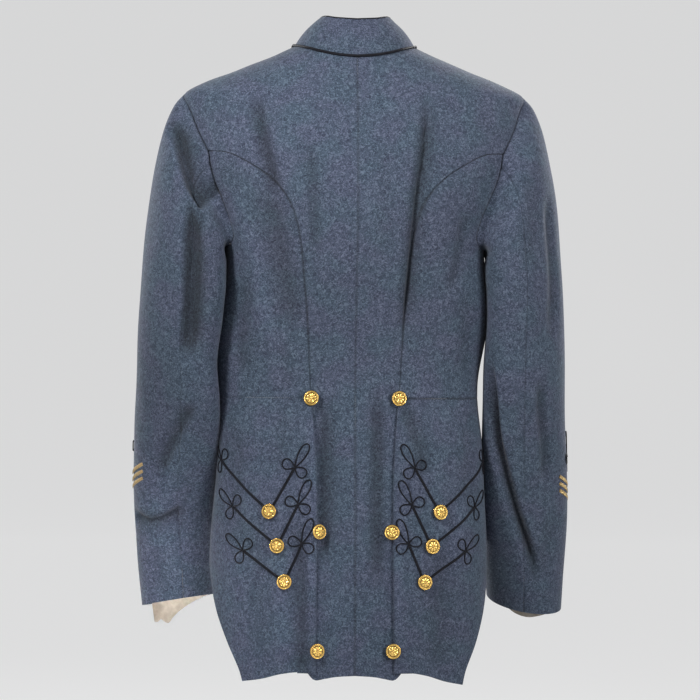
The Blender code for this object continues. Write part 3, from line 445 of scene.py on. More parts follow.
def seam_stops(lengths, count):
    """Distances along rows of these lengths: close together near both ends, and even between."""
    near = SEAM_STOPS * np.minimum(1, lengths / 30)[:, None]
    share = np.linspace(0, 1, count)
    middle = near[:, -1:] + (lengths[:, None] - 2 * near[:, -1:]) * share
    return np.concatenate((near[:, :-1], middle, lengths[:, None] - near[:, -2::-1]), axis=1)


def body_panel(starts, ends, count, side):
    """Points and normals on the body between two borders of (turn, level), one pair a row, and each
    point's distance from either border. A row is the straight blend of its two ends."""
    blend = np.linspace(0, 1, 65)
    across, down = (starts[:, k, None] + (ends[:, k] - starts[:, k])[:, None] * blend for k in (0, 1))
    length = run_lengths(torso(across, down, side))
    stops = seam_stops(length[:, -1], count)
    at = row_interp(stops, length, np.broadcast_to(blend, length.shape))
    turn, level = (starts[:, k, None] + (ends[:, k] - starts[:, k])[:, None] * at for k in (0, 1))
    points, normals, _ = torso_frame(turn, level, side)
    return points, normals, stops, length[:, -1:] - stops


def fold_field(points, folds):
    """How far folds sink the cloth: a bell-shaped trough across each fold's smooth line, with its own
    reach on either side, which fades towards the line's ends."""
    total = np.zeros(points.shape[:-1])
    flat = points[..., (0, 2)]
    for line, reach_in, reach_out, depth in folds:
        knots = np.array(line, float)
        length = run_lengths(knots[None])[0]
        path = curve_at(length, knots, np.linspace(0, length[-1], 33))
        margin = 3 * max(reach_in, reach_out)
        near = np.all((flat > path.min(0) - margin) & (flat < path.max(0) + margin), axis=-1)
        spots = flat[near]
        best, place, sign = np.full(len(spots), 1e9), np.zeros(len(spots)), np.ones(len(spots))
        starts = run_lengths(path[None])[0]
        for k in range(len(path) - 1):
            run = starts[k + 1] - starts[k]
            way = (path[k + 1] - path[k]) / run
            t = np.clip((spots - path[k]) @ way, 0, run)
            off = spots - path[k] - t[:, None] * way
            away = np.linalg.norm(off, axis=-1)
            nearer = away < best
            best, place = np.where(nearer, away, best), np.where(nearer, starts[k] + t, place)
            sign = np.where(nearer, np.sign(way[0] * off[:, 1] - way[1] * off[:, 0]), sign)
        share = place / starts[-1]
        fade = ease(0, FOLD_FADE, share) * ease(0, FOLD_FADE, 1 - share)
        total[near] += depth * fade * np.exp(-((best / np.where(sign > 0, reach_out, reach_in)) ** 2))
    return total


waves = np.random.default_rng(7)
wave_ways = unit(waves.normal(size=(WAVE_COUNT, 3)) * (1.0, 1.0, 0.7))
wave_numbers = 2 * math.pi / waves.uniform(*WAVE_LENGTHS, WAVE_COUNT)
wave_starts = waves.uniform(0, 2 * math.pi, WAVE_COUNT)


def unevenness(points, side):
    """Slight rise and fall of worn cloth: a sum of long sine waves through space."""
    place = (points * (side, 1, 1)) @ (wave_ways * wave_numbers[:, None]).T + wave_starts
    return WAVE_HEIGHT * np.sin(place).sum(-1)


def groove(distance, dip=SEAM_DIP, reach=SEAM_REACH):
    """How far the cloth sinks at a distance from a seam."""
    return dip * np.exp(-((distance / reach) ** 2))


def vertex_normals(points, faces):
    """Normals of the points, as the mean of their faces' normals weighted by area."""
    corner = points[faces]
    facing = np.cross(corner[:, 2] - corner[:, 0], corner[:, 3] - corner[:, 1])
    total = [np.bincount(faces.ravel(), np.repeat(facing[:, k], 4), len(points)) for k in range(3)]
    return unit(np.stack(total, -1))


def cloth_piece(name, outer, faces, side, material, crease, thickness=CLOTH, inner=None):
    """A thin closed wall of cloth: its outer face, the same face moved in along its normals or else a
    given inner face, and its cut edges. The attribute "crease" is the depth of the folds in mm, with
    the seams' grooves added, from which the wool takes painted shade and painted highlight."""
    outer = outer.reshape(-1, 3) * (side, 1, 1)
    faces = faces if side == LEFT else faces[:, ::-1]
    if inner is None:
        inner = outer - vertex_normals(outer, faces) * thickness
    else:
        inner = inner.reshape(-1, 3) * (side, 1, 1)
    count = len(outer)
    first, second = faces.ravel(), np.roll(faces, -1, axis=1).ravel()
    single = ~np.isin(first * count + second, second * count + first)
    a, b = first[single], second[single]
    edge = np.stack((b, a, a + count, b + count), -1)
    whole = np.concatenate((faces, faces[:, ::-1] + count, edge))
    piece = make_mesh(name, np.concatenate((outer, inner)), whole, material)
    depths = np.tile(np.ravel(crease), 2).astype(np.float32)
    piece.data.attributes.new("crease", "FLOAT", "POINT").data.foreach_set("value", depths)
    return piece


def hang_sheet(piece, points, node, long=None):
    """Attaches the piece to the root and hides its part in the frame. Where no length is given, it
    works out the cut's length from its longest column."""
    long = long or run_lengths(points.swapaxes(0, 1))[:, -1].max() * MM
    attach(piece, "root")
    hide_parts(node)


def sided(stem, side):
    """The name of a piece of one side."""
    return f"{stem}_{SIDE_NAMES[side]}"


def sew(node, points, faces, side, crease, inner=None):
    """A piece of the wool on one side, attached to the root."""
    piece = cloth_piece(sided("wool_" + node, side), points, faces, side, wool, crease, inner=inner)
    hang_sheet(piece, points, sided(node, side))


def add_node(tree, kind, **values):
    """A shader node. Each value goes to the input of that name or number, linked where it is a
    socket, and a name that isn't an input is a setting of the node."""
    made = tree.nodes.new("ShaderNode" + kind)
    for name, value in values.items():
        key = int(name[3:]) if name.startswith("at_") else name.replace("_", " ").title()
        if isinstance(key, str) and key not in made.inputs:
            setattr(made, name, value)
        elif isinstance(value, bpy.types.NodeSocket):
            tree.links.new(value, made.inputs[key])
        else:
            made.inputs[key].default_value = value
    return made


def emboss(tree, shader, height, strength, distance):
    """Bump on a shader's surface."""
    bump = add_node(tree, "Bump", strength=strength, distance=distance, height=height)
    tree.links.new(bump.outputs["Normal"], shader.inputs["Normal"])


def make_wool():
    """Milled wool: curled fibres that run from dark over blue-grey to pale, under soft teal and
    violet clouds, with a felted nap, painted shade in its folds and seams and a painted highlight on
    its ridges, by the attribute "crease"."""
    sheen = {"sheen_weight": 0.12, "sheen_roughness": 0.5}
    material, tree, shader = new_material("cadet_wool", WOOL_MIDDLE, 0.95, **sheen)
    place = add_node(tree, "TexCoord").outputs["Object"]
    drift = add_node(tree, "TexNoise", vector=place, scale=26.0, detail=2.0, roughness=0.5)
    fibre = add_node(tree, "TexNoise", vector=place, scale=300.0, detail=2.0, roughness=0.7, distortion=1.4)
    ramp = add_node(tree, "ValToRGB", at_0=fibre.outputs["Fac"])
    steps = ((0.34, WOOL_DARK), (0.50, WOOL_MIDDLE), (0.68, WOOL_PALE))
    for k, (at, colour) in enumerate(steps):
        step = ramp.color_ramp.elements[k] if k < 2 else ramp.color_ramp.elements.new(at)
        step.position, step.color = at, colour
    tint = add_node(tree, "ValToRGB", at_0=drift.outputs["Fac"])
    for step, at, colour in zip(tint.color_ramp.elements, (0.38, 0.62), (WOOL_TEAL, WOOL_VIOLET)):
        step.position, step.color = at, colour
    cloth = add_node(tree, "Mix", data_type="RGBA", blend_type="MULTIPLY", at_0=1.0)
    tree.links.new(ramp.outputs["Color"], cloth.inputs[6])
    tree.links.new(tint.outputs["Color"], cloth.inputs[7])
    # Painted shade and highlight: the wool's colour is scaled by the depth of the folds and seams
    crease = add_node(tree, "Attribute", attribute_name="crease")
    ends = dict(zip(("at_1", "at_2", "at_3", "at_4"), CREASE_DEPTHS + FOLD_PAINTED_LIGHT_AND_SHADE))
    painted_fold_shade = add_node(tree, "MapRange", at_0=crease.outputs["Fac"], **ends)
    shaded = add_node(tree, "VectorMath", operation="SCALE", at_0=cloth.outputs[2], scale=painted_fold_shade.outputs[0])
    tree.links.new(shaded.outputs[0], shader.inputs["Base Color"])
    emboss(tree, shader, fibre.outputs["Fac"], 0.55, 0.0007)
    return material


wool = make_wool()


def back_borders(side):
    """(turn, level) of the back's rows: on the neckline and centre seam, and on its outer edge."""
    inner = ends_on_body([row[:2] for row in BACK_ROWS], side)
    outer = ends_on_body([row[2:] for row in BACK_ROWS], side)
    outer[: SHOULDER_ROW + 1, 0] = QUARTER
    return inner, outer


def back_edge_at(rows, side):
    """(turn, level) on the back's outer edge at row numbers. Beside the armhole it is the armhole."""
    _, outer = back_borders(side)
    placed = border_at(outer, rows, (SHOULDER_ROW, APEX_ROW))
    beside = (rows >= SHOULDER_ROW) & (rows <= APEX_ROW)
    placed[beside] = armhole_at(rows[beside] - SHOULDER_ROW, side)
    return placed


def inset(points, amount, columns):
    """The grid with its first and last columns moved in by amount, or only the ones named."""
    moved = points.copy()
    for edge, inner in ((0, 1), (-1, -2)):
        if edge in columns:
            moved[:, edge] += unit(points[:, inner] - points[:, edge]) * amount
    return moved


BACK_COLUMNS, UNDER_COLUMNS = 56, 8
# Length of a back's cut from its shoulder to its hem, in metres, since its mesh is two grids
BACK_LENGTH = 0.835
# The back dips beside its hip button: places across and levels down over which the dip grows
WAIST_DIP_ACROSS, WAIST_DIP_DOWN = (36, 52), (418, 441)
# Rows over which the back seam's groove ends, and shares of the panel for the centre seam's
SEAM_END_ROWS, CENTRE_END = (15, 18), (0.02, 0.2)
for side in SIDES:
    inner_ends, outer_ends = back_borders(side)
    rows = sub_rows(outer_ends, (SHOULDER_ROW, APEX_ROW))
    starts, ends = border_at(inner_ends, rows, (SHOULDER_ROW,)), back_edge_at(rows, side)
    upper, normals, inward, outward = body_panel(starts, ends, BACK_COLUMNS, side)
    centre = (rows >= SHOULDER_ROW)[:, None] * groove(inward, CENTRE_DIP)
    dip = WAIST_DIP * ease(*WAIST_DIP_ACROSS, upper[..., 0]) * ease(*WAIST_DIP_DOWN, -upper[..., 2])
    depth = np.where(rows < APEX_ROW, ARMHOLE_DIP / SEAM_DIP, 1 - ease(*SEAM_END_ROWS, rows))
    seam = depth[:, None] * groove(outward)
    folds = fold_field(upper, BACK_FOLDS[side])
    sink = folds + centre + seam + dip
    # Painted shade in the centre and back seams' grooves, added to the folds' depths
    upper_crease = folds + SEAM_SHADE * (centre + seam)
    upper = upper - normals * (sink + unevenness(upper, side))[..., None]
    shares = np.linspace(0, 1, round(BELOW_WAIST / CLOTH_STEP))[:, None]
    nominal = (WAIST - 1.5) + shares * (BACK_HEM[0, 1] - WAIST)
    edge = pleat_along(nominal[:, 0], side)[:, None]
    past = np.linspace(0, PLEAT_UNDER + 3, UNDER_COLUMNS + 1)[1:]
    stops = np.concatenate((seam_stops(edge[:, 0], BACK_COLUMNS), edge + past), axis=1)
    hem = smooth(BACK_HEM[:, 0], BACK_HEM[:, 1], stops / stops[:, -1:]) - BACK_HEM[0, 1]
    levels = nominal + shares * shares * hem
    lower, normals, _ = torso_frame(turn_along(stops, levels, side), levels, side)
    dip = BACK_DIP * ease(-BACK_DIP_RUN - 1, -2, stops - edge)
    centre = groove(stops, CENTRE_DIP) * (1 - ease(*CENTRE_END, shares))
    folds = fold_field(lower, BACK_FOLDS[side] + PLEAT_FOLDS[side])
    sink = dip + centre + folds
    # Painted shade in the centre seam's groove, added to the folds' depths
    lower_crease = folds + SEAM_SHADE * groove(stops, CENTRE_DIP)
    lower = lower - normals * (sink + unevenness(lower, side))[..., None]
    upper[:, 0, 0] = np.where(rows >= SHOULDER_ROW, CENTRE_CLEAR, upper[:, 0, 0])
    lower[:, 0, 0] = CENTRE_CLEAR
    upper = inset(upper, SEAM_CLEAR, (-1,))
    across, wide = upper.shape[1], lower.shape[1]
    last, first = (len(upper) - 1) * across + np.arange(across), len(upper) * across + np.arange(wide)
    bridge = np.stack((last[:-1], last[1:], first[1:across], first[: across - 1]), -1)
    faces = (grid_faces(len(upper), across), bridge, grid_faces(len(lower), wide) + len(upper) * across)
    outer = np.concatenate((upper.reshape(-1, 3), lower.reshape(-1, 3)))
    crease = np.concatenate((upper_crease.ravel(), lower_crease.ravel()))
    piece = cloth_piece(sided("wool_back", side), outer, np.concatenate(faces), side, wool, crease)
    whole = np.concatenate((upper, lower[:, :across]))
    hang_sheet(piece, whole, sided("back", side), long=BACK_LENGTH)


# The side-backs: each fills the space between the curved back seam, the armhole and the side seam,
# and ends at the waist seam. The seams are pressed open, so that only a thin groove shows.
SIDE_SEAM = tuple((CHEST_TURN, level) for level in (-252, -300, -348, -395, -442.7))
SIDE_BACK_COLUMNS = 42
SIDE_BACK_START = 0.06

for side in SIDES:
    seam_rows = np.array([row[2:] for row in BACK_ROWS[APEX_ROW:]], float)
    rows = sub_rows(ends_on_body(seam_rows, side), (), close_end=True)
    rows = rows[rows > SIDE_BACK_START]
    starts = back_edge_at(rows + APEX_ROW, side)
    ends = armhole_at(rows + APEX_ROW - SHOULDER_ROW, side)
    lowest = UNDERARM - (APEX_ROW - SHOULDER_ROW)
    under = rows > lowest
    ends[under] = border_at(np.array(SIDE_SEAM), rows[under] - lowest)
    points, normals, inward, outward = body_panel(starts, ends, SIDE_BACK_COLUMNS, side)
    side_seam = np.where(under, SEAM_DIP, ARMHOLE_DIP)[:, None] * groove(outward, 1.0)
    waist_seam = groove(points[..., 2] - WAIST_GROOVE, WAIST_SEAM_DIP)
    crease = fold_field(points, BACK_FOLDS[side])
    sink = crease + groove(inward) + side_seam + waist_seam
    # Painted shade in the seams' grooves, twice over in the side seam and armhole, more in the waist seam
    crease = crease + SEAM_SHADE * (groove(inward) + 2 * side_seam + WAIST_SHADE[side] * waist_seam)
    points = inset(points - normals * (sink + unevenness(points, side))[..., None], SEAM_CLEAR, (0, -1))
    faces = grid_faces(*points.shape[:2])
    sew("side_back", points, faces, side, crease)


# The fronts: plain, to the waist, and buttoned left over right. The right one's edge lies sunk
# under the left one.
FRONT_INNER = ((77.5, 7), (72, -12), (62, -34), (42, -58), (20, -72), (-15, -81.5), (-15, -97), (-15, -124))
FRONT_INNER += ((-15, -155), (-15, -188), (-15, -220), (-15, -246), (-15, -262), (-15, -282), (-15, -315))
FRONT_INNER += ((-15, -358), (-15, -403), (-15, -442.7))
NECK_CORNER = 5
FRONT_COLUMNS = 66
# The right front sinks by this towards its edge, below the neck: places across and levels down
UNDERLAP_SINK, UNDERLAP_ACROSS, UNDERLAP_DOWN = 2.6, (20, 46), (56, 64)
FRONT_FOLDS = {
    LEFT: (
        (((134, -96), (122, -150), (116, -205)), 11, 11, 2.4),
        (((62, -150), (70, -235), (60, -330)), 13, 10, 1.8),
        (((126, -290), (104, -360), (86, -430)), 10, 12, 1.8),
        (((34, -300), (38, -360), (30, -425)), 9, 9, 1.1),
    ),
    RIGHT: (
        (((128, -92), (112, -160), (110, -226)), 11, 11, 2.6),
        (((70, -170), (76, -250), (70, -345)), 12, 10, 1.6),
        (((130, -300), (112, -352), (100, -430)), 10, 12, 1.8),
    ),
}

for side in SIDES:
    _, outer_ends = back_borders(side)
    inner_ends = ends_on_body(FRONT_INNER, side, front=True)
    rows = sub_rows(inner_ends, (NECK_CORNER,), close_end=True)
    starts = back_edge_at(np.minimum(rows, SHOULDER_ROW), side)
    beside = rows > SHOULDER_ROW
    starts[beside] = armhole_at(ARMHOLE_COUNT + SHOULDER_ROW - rows[beside], side)
    lowest = ARMHOLE_COUNT + SHOULDER_ROW - UNDERARM
    under = rows > lowest
    starts[under] = border_at(np.array(SIDE_SEAM), rows[under] - lowest)
    ends = border_at(inner_ends, rows, (NECK_CORNER,))
    points, normals, inward, outward = body_panel(starts, ends, FRONT_COLUMNS, side)
    side_seam = np.where(under, SEAM_DIP, ARMHOLE_DIP)[:, None] * groove(inward, 1.0)
    waist_edge = groove(points[..., 2] - WAIST_GROOVE, WAIST_SEAM_DIP)
    crease = fold_field(points, FRONT_FOLDS[side])
    sink = crease + side_seam + waist_edge
    # Painted shade in the side seam's and the waist seam's grooves
    crease = crease + SEAM_SHADE * (side_seam + waist_edge)
    if side == RIGHT:
        covered = (1 - ease(*UNDERLAP_ACROSS, points[..., 0])) * ease(*UNDERLAP_DOWN, -points[..., 2])
        sink += UNDERLAP_SINK * covered
    points = inset(points - normals * (sink + unevenness(points, side))[..., None], SEAM_CLEAR, (0,))
    faces = grid_faces(*points.shape[:2])
    sew("front", points, faces, side, crease)


# The skirts: each is pleated at its back edge, where the cloth turns under in a pressed knife pleat,
# is joined to the body at the waist seam and is cut away towards the front.
PLEAT_RISE, PLEAT_PLY_GAP = 1.7, 0.5
PLEAT_FLAT, PLEAT_SPREAD = 14.0, 46.0
# Distance from the fold at which a pleat's plies turn into it
PLEAT_TURN = 4
SKIRT_COLUMNS = 76
# Turn of a skirt's front edge, in degrees, by level
CUTAWAY = ((-812, 47), (-790, 50), (-754, 60), (-717, 71), (-690, 79), (-645, 92), (-576, 107))
CUTAWAY = np.array(CUTAWAY + ((-500, 121), (-443, 130)))
SKIRT_HEM = np.array(((0, -789.5), (0.2, -788.5), (0.45, -792), (0.72, -799.5), (1, -804.5)))
HEM_TILT = {LEFT: 2.0, RIGHT: -2.0}
SKIRT_START = -442.76
SKIRT_FOLDS = {
    LEFT: (
        (((92, -450), (96, -490), (104, -540)), 9, 9, 2.0),
        (((132, -590), (124, -690), (118, -790)), 15, 15, 2.4),
        (((150, -470), (152, -560), (142, -650)), 10, 12, 2.2),
        (((98, -640), (94, -710), (92, -790)), 9, 10, -1.8),
    ),
    RIGHT: (
        (((112, -630), (110, -700), (112, -800)), 16, 18, 3.6),
        (((140, -560), (134, -620), (128, -690)), 10, 10, -1.8),
        (((150, -460), (146, -520), (150, -580)), 9, 9, 2.0),
    ),
}


def skirt_rise(away):
    """Height of a skirt's outer face over the body, by the distance from its pleat's fold."""
    return PLEAT_RISE * (1 - ease(PLEAT_FLAT, PLEAT_SPREAD, away))


for side in SIDES:
    lift, radius = PLEAT_RISE - CLOTH / 2, (CLOTH + PLEAT_PLY_GAP) / 2
    arc = np.linspace(-QUARTER, QUARTER, 11)
    fold_away = radius + CLOTH / 2 - radius * np.cos(arc)
    fold_height = lift - radius + radius * np.sin(arc)
    ply, face = np.linspace(PLEAT_UNDER, PLEAT_TURN, 9), np.linspace(PLEAT_TURN, PLEAT_SPREAD, 18)
    shares = np.linspace(0, 1, round(BELOW_WAIST / CLOTH_STEP))
    shares = np.concatenate((SEAM_STOPS / BELOW_WAIST, shares[shares > 0.02]))[:, None]
    nominal = SKIRT_START + shares * (SKIRT_HEM[0, 1] - SKIRT_START)
    front_level = SKIRT_START + shares * (SKIRT_HEM[-1, 1] + HEM_TILT[side] - SKIRT_START)
    start = pleat_along(nominal[:, 0], side)[:, None]
    corner = np.radians(smooth(CUTAWAY[:, 0], CUTAWAY[:, 1], front_level[:, 0]))
    reach = along_at(corner, front_level[:, 0], side)[:, None] - start
    plain = PLEAT_SPREAD + (reach - PLEAT_SPREAD) * np.linspace(0, 1, SKIRT_COLUMNS)[1:]
    fixed = np.concatenate((ply, fold_away, face))
    away = np.concatenate((np.broadcast_to(fixed, (len(shares), len(fixed))), plain), axis=1)
    under = np.full(len(ply), lift - 2 * radius)
    over = np.arange(away.shape[1]) >= len(ply) + len(arc)
    height = np.where(over, skirt_rise(away) - CLOTH / 2, 0)
    height[:, : len(ply) + len(arc)] = np.concatenate((under, fold_height))
    hem = smooth(SKIRT_HEM[:, 0], SKIRT_HEM[:, 1], np.where(over, away, 0) / reach)
    tilt = HEM_TILT[side] * np.where(over, away, 0) / reach
    levels = SKIRT_START + shares * (hem + tilt - SKIRT_START)
    body, lean, round_way = torso_frame(turn_along(start + away, levels, side), levels, side)
    run, climb = np.gradient(away, axis=1), np.gradient(height, axis=1)
    normal = (lean * run[..., None] - round_way * climb[..., None]) / np.hypot(run, climb)[..., None]
    waist_seam = groove(shares * BELOW_WAIST, WAIST_SEAM_DIP) * over
    crease = fold_field(body, SKIRT_FOLDS[side] + PLEAT_FOLDS[side])
    sink = crease + waist_seam + unevenness(body, side)
    # Painted shade in the waist seam's groove
    crease = crease + SEAM_SHADE * WAIST_SHADE[side] * waist_seam
    middle = body + lean * (height - sink)[..., None]
    outer, inner = middle + normal * CLOTH / 2, middle - normal * CLOTH / 2
    faces = grid_faces(*outer.shape[:2])
    sew("skirt", outer, faces, side, crease, inner)


# The sleeves: each is cut in two, a top sleeve and an under sleeve, joined at the hind-arm and the
# fore-arm seam, and set into the armhole. They hang with the elbow a little bent and broad creases.
# Stations down a sleeve: place of its outer and its inner edge (across, level), half its depth and
# how far its middle lies in front of the shoulder line
SLEEVE = np.array(
    (
        (0, 217, -49, 168.4, -252.4, 66, 0),
        (1, 232, -67, 169.4, -256, 67, 0),
        (2, 247, -102, 170.4, -265, 68, 1),
        (3, 259, -152, 170.8, -282, 67, 2),
        (4, 267.5, -210, 170.2, -308, 65, 3),
        (5, 273, -272, 169.2, -346, 62, 4),
        (6, 277, -342, 168.5, -396, 58, 6),
        (7, 280, -415, 170.5, -450, 54, 11),
        (8, 283, -495, 176, -515, 50, 25),
        (9, 285, -572, 179, -580, 47, 41),
        (10, 282.5, -642, 178.5, -642, 45, 53),
        (11, 277, -719, 178, -703, 43, 62),
    )
)
LAST_STATION, SWING_STATION, ARMHOLE_FADE = 11.0, 7.5, 3.0
SLEEVE_SWING = {LEFT: -6.0, RIGHT: 6.0}
# How much higher the back of a cuff hangs than its middle
CUFF_TILT = {LEFT: 4.0, RIGHT: -13.0}
# How far a sleeve's inner edge stands off the body, and how far it lies back, station by station
SLEEVE_PRESS = {
    LEFT: ((0, 0, -6, -6, -5, 0, 7, 1, -3, 0, 0, 0), (0, 0, 28, 48, 54, 52, 48, 44, 30, 8, 0, 0)),
    RIGHT: ((0, 0, -1.5, -2, 0.5, 2, 1, -1, -6, -8, -6, 0), (0, 0, 32, 44, 44, 40, 32, 32, 30, 30, 16, 0)),
}
HIND_SEAM_DRIFT = math.radians(16)
HIND_SEAM, FORE_SEAM = 4, 14
ARMHOLE_STOPS = np.array((0.0, 0.035, 0.075, 0.13, 0.2))
# A sleeve's folds come in as its cloth turns to face back, or front: by the length of its normal's Y
FACING = (0.0, 0.35)
# Folds of a sleeve, on its side towards the back and on that towards the front
SLEEVE_FOLDS_BEHIND = {
    LEFT: (
        (((241, -84), (237, -103), (231, -125), (223, -153), (214, -176), (199, -194), (186, -204)),
         20, 3.0, 15.0),
        (((170, -168), (178, -181), (189, -193), (204, -203)), 3, 9, 6.5),
        (((213, -184), (216, -250), (217, -317), (220, -405)), 22, 4.5, 16.0),
        (((204, -450), (230, -500), (254, -552)), 7, 10, 7.5),
        (((288, -590), (266, -605), (249, -603), (216, -584)), 4, 11, 8.0),
        (((280, -582), (262, -589), (240, -586)), 5, 5, -1.6),
        (((206, -540), (216, -590), (232, -640)), 8, 8, 2.4),
        (((250, -640), (246, -680), (250, -712)), 10, 10, 1.8),
    ),
    RIGHT: (
        (((176, -385), (182, -449), (188.5, -492), (201.5, -537), (218.4, -589), (240.5, -648), (249, -700)),
         9, 2.6, 13.0),
        (((242, -410), (245.7, -472), (251, -505), (253, -560)), 6, 7, 6.5),
        (((250, -170), (253.5, -232), (257.4, -280), (257.4, -375)), 7, 6, 5.5),
        (((222, -150), (228, -215), (226, -285)), 12, 10, 1.8),
        (((262, -590), (256, -640), (250, -690)), 9, 9, 2.2),
    ),
}
SLEEVE_FOLDS_BEFORE = {
    LEFT: (
        (((226, -120), (212, -180), (200, -250)), 12, 9, 3.2),
        (((226, -330), (220, -400), (206, -462)), 9, 11, 3.0),
        (((262, -470), (236, -505), (206, -520)), 8, 6, 3.8),
        (((256, -552), (232, -570), (210, -572)), 7, 6, 2.6),
        (((236, -610), (230, -660), (236, -705)), 10, 10, 1.8),
    ),
    RIGHT: (
        (((230, -130), (216, -196), (206, -268)), 12, 9, 3.0),
        (((218, -300), (226, -372), (220, -440)), 10, 9, 2.6),
        (((258, -486), (230, -508), (202, -516)), 8, 6, 3.6),
        (((262, -560), (240, -590), (216, -600)), 7, 6, 2.4),
        (((222, -620), (228, -664), (222, -708)), 10, 10, 1.8),
    ),
}


def sleeve_form(numbers, stations, side):
    """Points of a sleeve at armhole numbers round it and stations down it. A ring is an ellipse
    between its outer edge, at phase 0, and its inner edge, at half a turn, with the station's half
    depth. The armhole's own shape fades out of it down the sleeve, and the cuff swings and tilts."""
    numbers, stations = np.asarray(numbers, float), np.asarray(stations, float)
    placed = armhole_at(numbers % ARMHOLE_COUNT, side)
    armhole = torso(placed[:, 0], placed[:, 1], side)
    outer, inner = SLEEVE[0, (1, 2)], SLEEVE[0, (3, 4)]
    axis = (outer - inner) / 2
    flat = armhole[:, (0, 2)] - (outer + inner) / 2
    phases = np.arctan2(armhole[:, 1] / SLEEVE[0, 5], flat @ axis / (axis @ axis))
    first = armhole_at(np.zeros(1), side)
    start = torso(first[:, 0], first[:, 1], side)[0]
    start_flat = start[[0, 2]] - (outer + inner) / 2
    phases = phases - math.atan2(start[1] / SLEEVE[0, 5], start_flat @ axis / (axis @ axis))

    def rings(stations, phases):
        columns = [smooth(SLEEVE[:, 0], SLEEVE[:, k], stations)[:, None] for k in range(1, 7)]
        out_x, out_z, in_x, in_z, depth, ahead = columns
        late = ease(SWING_STATION, LAST_STATION, stations)[:, None]
        share, height = np.cos(phases), np.sin(phases)
        aside, back = curve_at(SLEEVE[:, 0], np.array(SLEEVE_PRESS[side], float).T, stations).T[..., None]
        in_x = in_x + aside
        ahead = ahead - back * ((1 - share) / 2) ** 1.5
        x = (out_x + in_x) / 2 + (out_x - in_x) / 2 * share + SLEEVE_SWING[side] * late
        z = (out_z + in_z) / 2 + (out_z - in_z) / 2 * share + CUFF_TILT[side] * late * height
        return np.stack((x, depth * height - ahead, z), -1)

    drift = HIND_SEAM_DRIFT * ease(0, LAST_STATION, stations)[:, None] * np.sin(phases / 2) ** 2
    own = armhole - rings(np.zeros(1), phases[None])[0]
    return rings(stations, phases + drift) + own * (1 - ease(0, ARMHOLE_FADE, stations))[:, None, None]


def sleeve_face(numbers, stations, side):
    """Points and normals of a sleeve's outer face with its folds, and the folds' depths."""
    step, down = 0.02, 0.01
    points = sleeve_form(numbers, stations, side)
    around = sleeve_form(numbers + step, stations, side) - sleeve_form(numbers - step, stations, side)
    along = sleeve_form(numbers, stations + down, side) - sleeve_form(numbers, stations - down, side)
    normals = unit(np.cross(around, along)) * -1
    behind = fold_field(points, SLEEVE_FOLDS_BEHIND[side]) * ease(*FACING, normals[..., 1])
    before = fold_field(points, SLEEVE_FOLDS_BEFORE[side]) * ease(*FACING, -normals[..., 1])
    crease = behind + before
    return points - normals * crease[..., None], normals, crease


fine_stations = np.linspace(0, LAST_STATION, 441)
outer_edge = curve_at(SLEEVE[:, 0], SLEEVE[:, 1:3], fine_stations)
edge_length = run_lengths(outer_edge[None])[0]
stops = np.linspace(0, edge_length[-1], round(edge_length[-1] / CLOTH_STEP))
sleeve_stations = np.interp(np.concatenate((SEAM_STOPS, stops[2:])), edge_length, fine_stations)
SLEEVE_SPANS = (("top_sleeve", FORE_SEAM, ARMHOLE_COUNT + HIND_SEAM), ("under_sleeve", HIND_SEAM, FORE_SEAM))
# Columns of a sleeve to one number of the armhole, and the share of a number kept free at its seams
SLEEVE_COLUMNS, SLEEVE_SEAM_FREE = 6.8, 0.25
SLEEVE_SEAM_DIP, SLEEVE_SEAM_REACH = 0.7, 1.3
for side in SIDES:
    for name, first, last in SLEEVE_SPANS:
        plain = np.linspace(first, last, round((last - first) * SLEEVE_COLUMNS))
        plain = plain[(plain > first + SLEEVE_SEAM_FREE) & (plain < last - SLEEVE_SEAM_FREE)]
        numbers = np.concatenate((first + ARMHOLE_STOPS, plain, (last - ARMHOLE_STOPS)[::-1]))
        points, normals, crease = sleeve_face(numbers, sleeve_stations, side)
        inward = run_lengths(points)
        outward = inward[:, -1:] - inward
        head = groove(run_lengths(points.swapaxes(0, 1)).T, ARMHOLE_DIP)
        seams = sum(groove(away, SLEEVE_SEAM_DIP, SLEEVE_SEAM_REACH) for away in (inward, outward))
        sink = head + seams + unevenness(points, side)
        points = inset(points - normals * sink[..., None], SEAM_CLEAR, (0, -1))
        # Painted shade in the armhole's and the sleeve seams' grooves
        crease = crease + SEAM_SHADE * (2 * head + seams / 2)
        faces = grid_faces(*points.shape[:2])[:, ::-1]
        sew(name, points, faces, side, crease)


# The cuff linings: cream sateen inside the end of each sleeve, which hangs out of the left one in a
# ragged edge.
LINING_CLOTH, LINING_INSET, LINING_TOP = 0.8, 2.6, 0.55
LINING_COLUMNS, LINING_ROWS = 153, 14
# The lining is drawn in by this where it doesn't show: on the back side, as its normal turns back
LINING_DRAWN_IN, LINING_BEHIND = 5.0, (-0.25, 0.15)
# The lining's lower edge on its front side: places across, and the level at each
LINING_EDGE = {
    LEFT: ((176, 190, 211, 231, 238, 243, 248, 252, 257),
           (-703, -710, -722, -738, -746, -744, -740.5, -744, -743)),
    RIGHT: ((184, 200, 215, 226, 245, 262, 285), (-700, -711, -723, -731, -737, -734, -722)),
}
# Beyond this place across, the lining keeps inside the cuff
LINING_HIDDEN = {LEFT: 257.5, RIGHT: 290.0}
SATEEN = (0.96, 0.84, 0.70, 1.0)


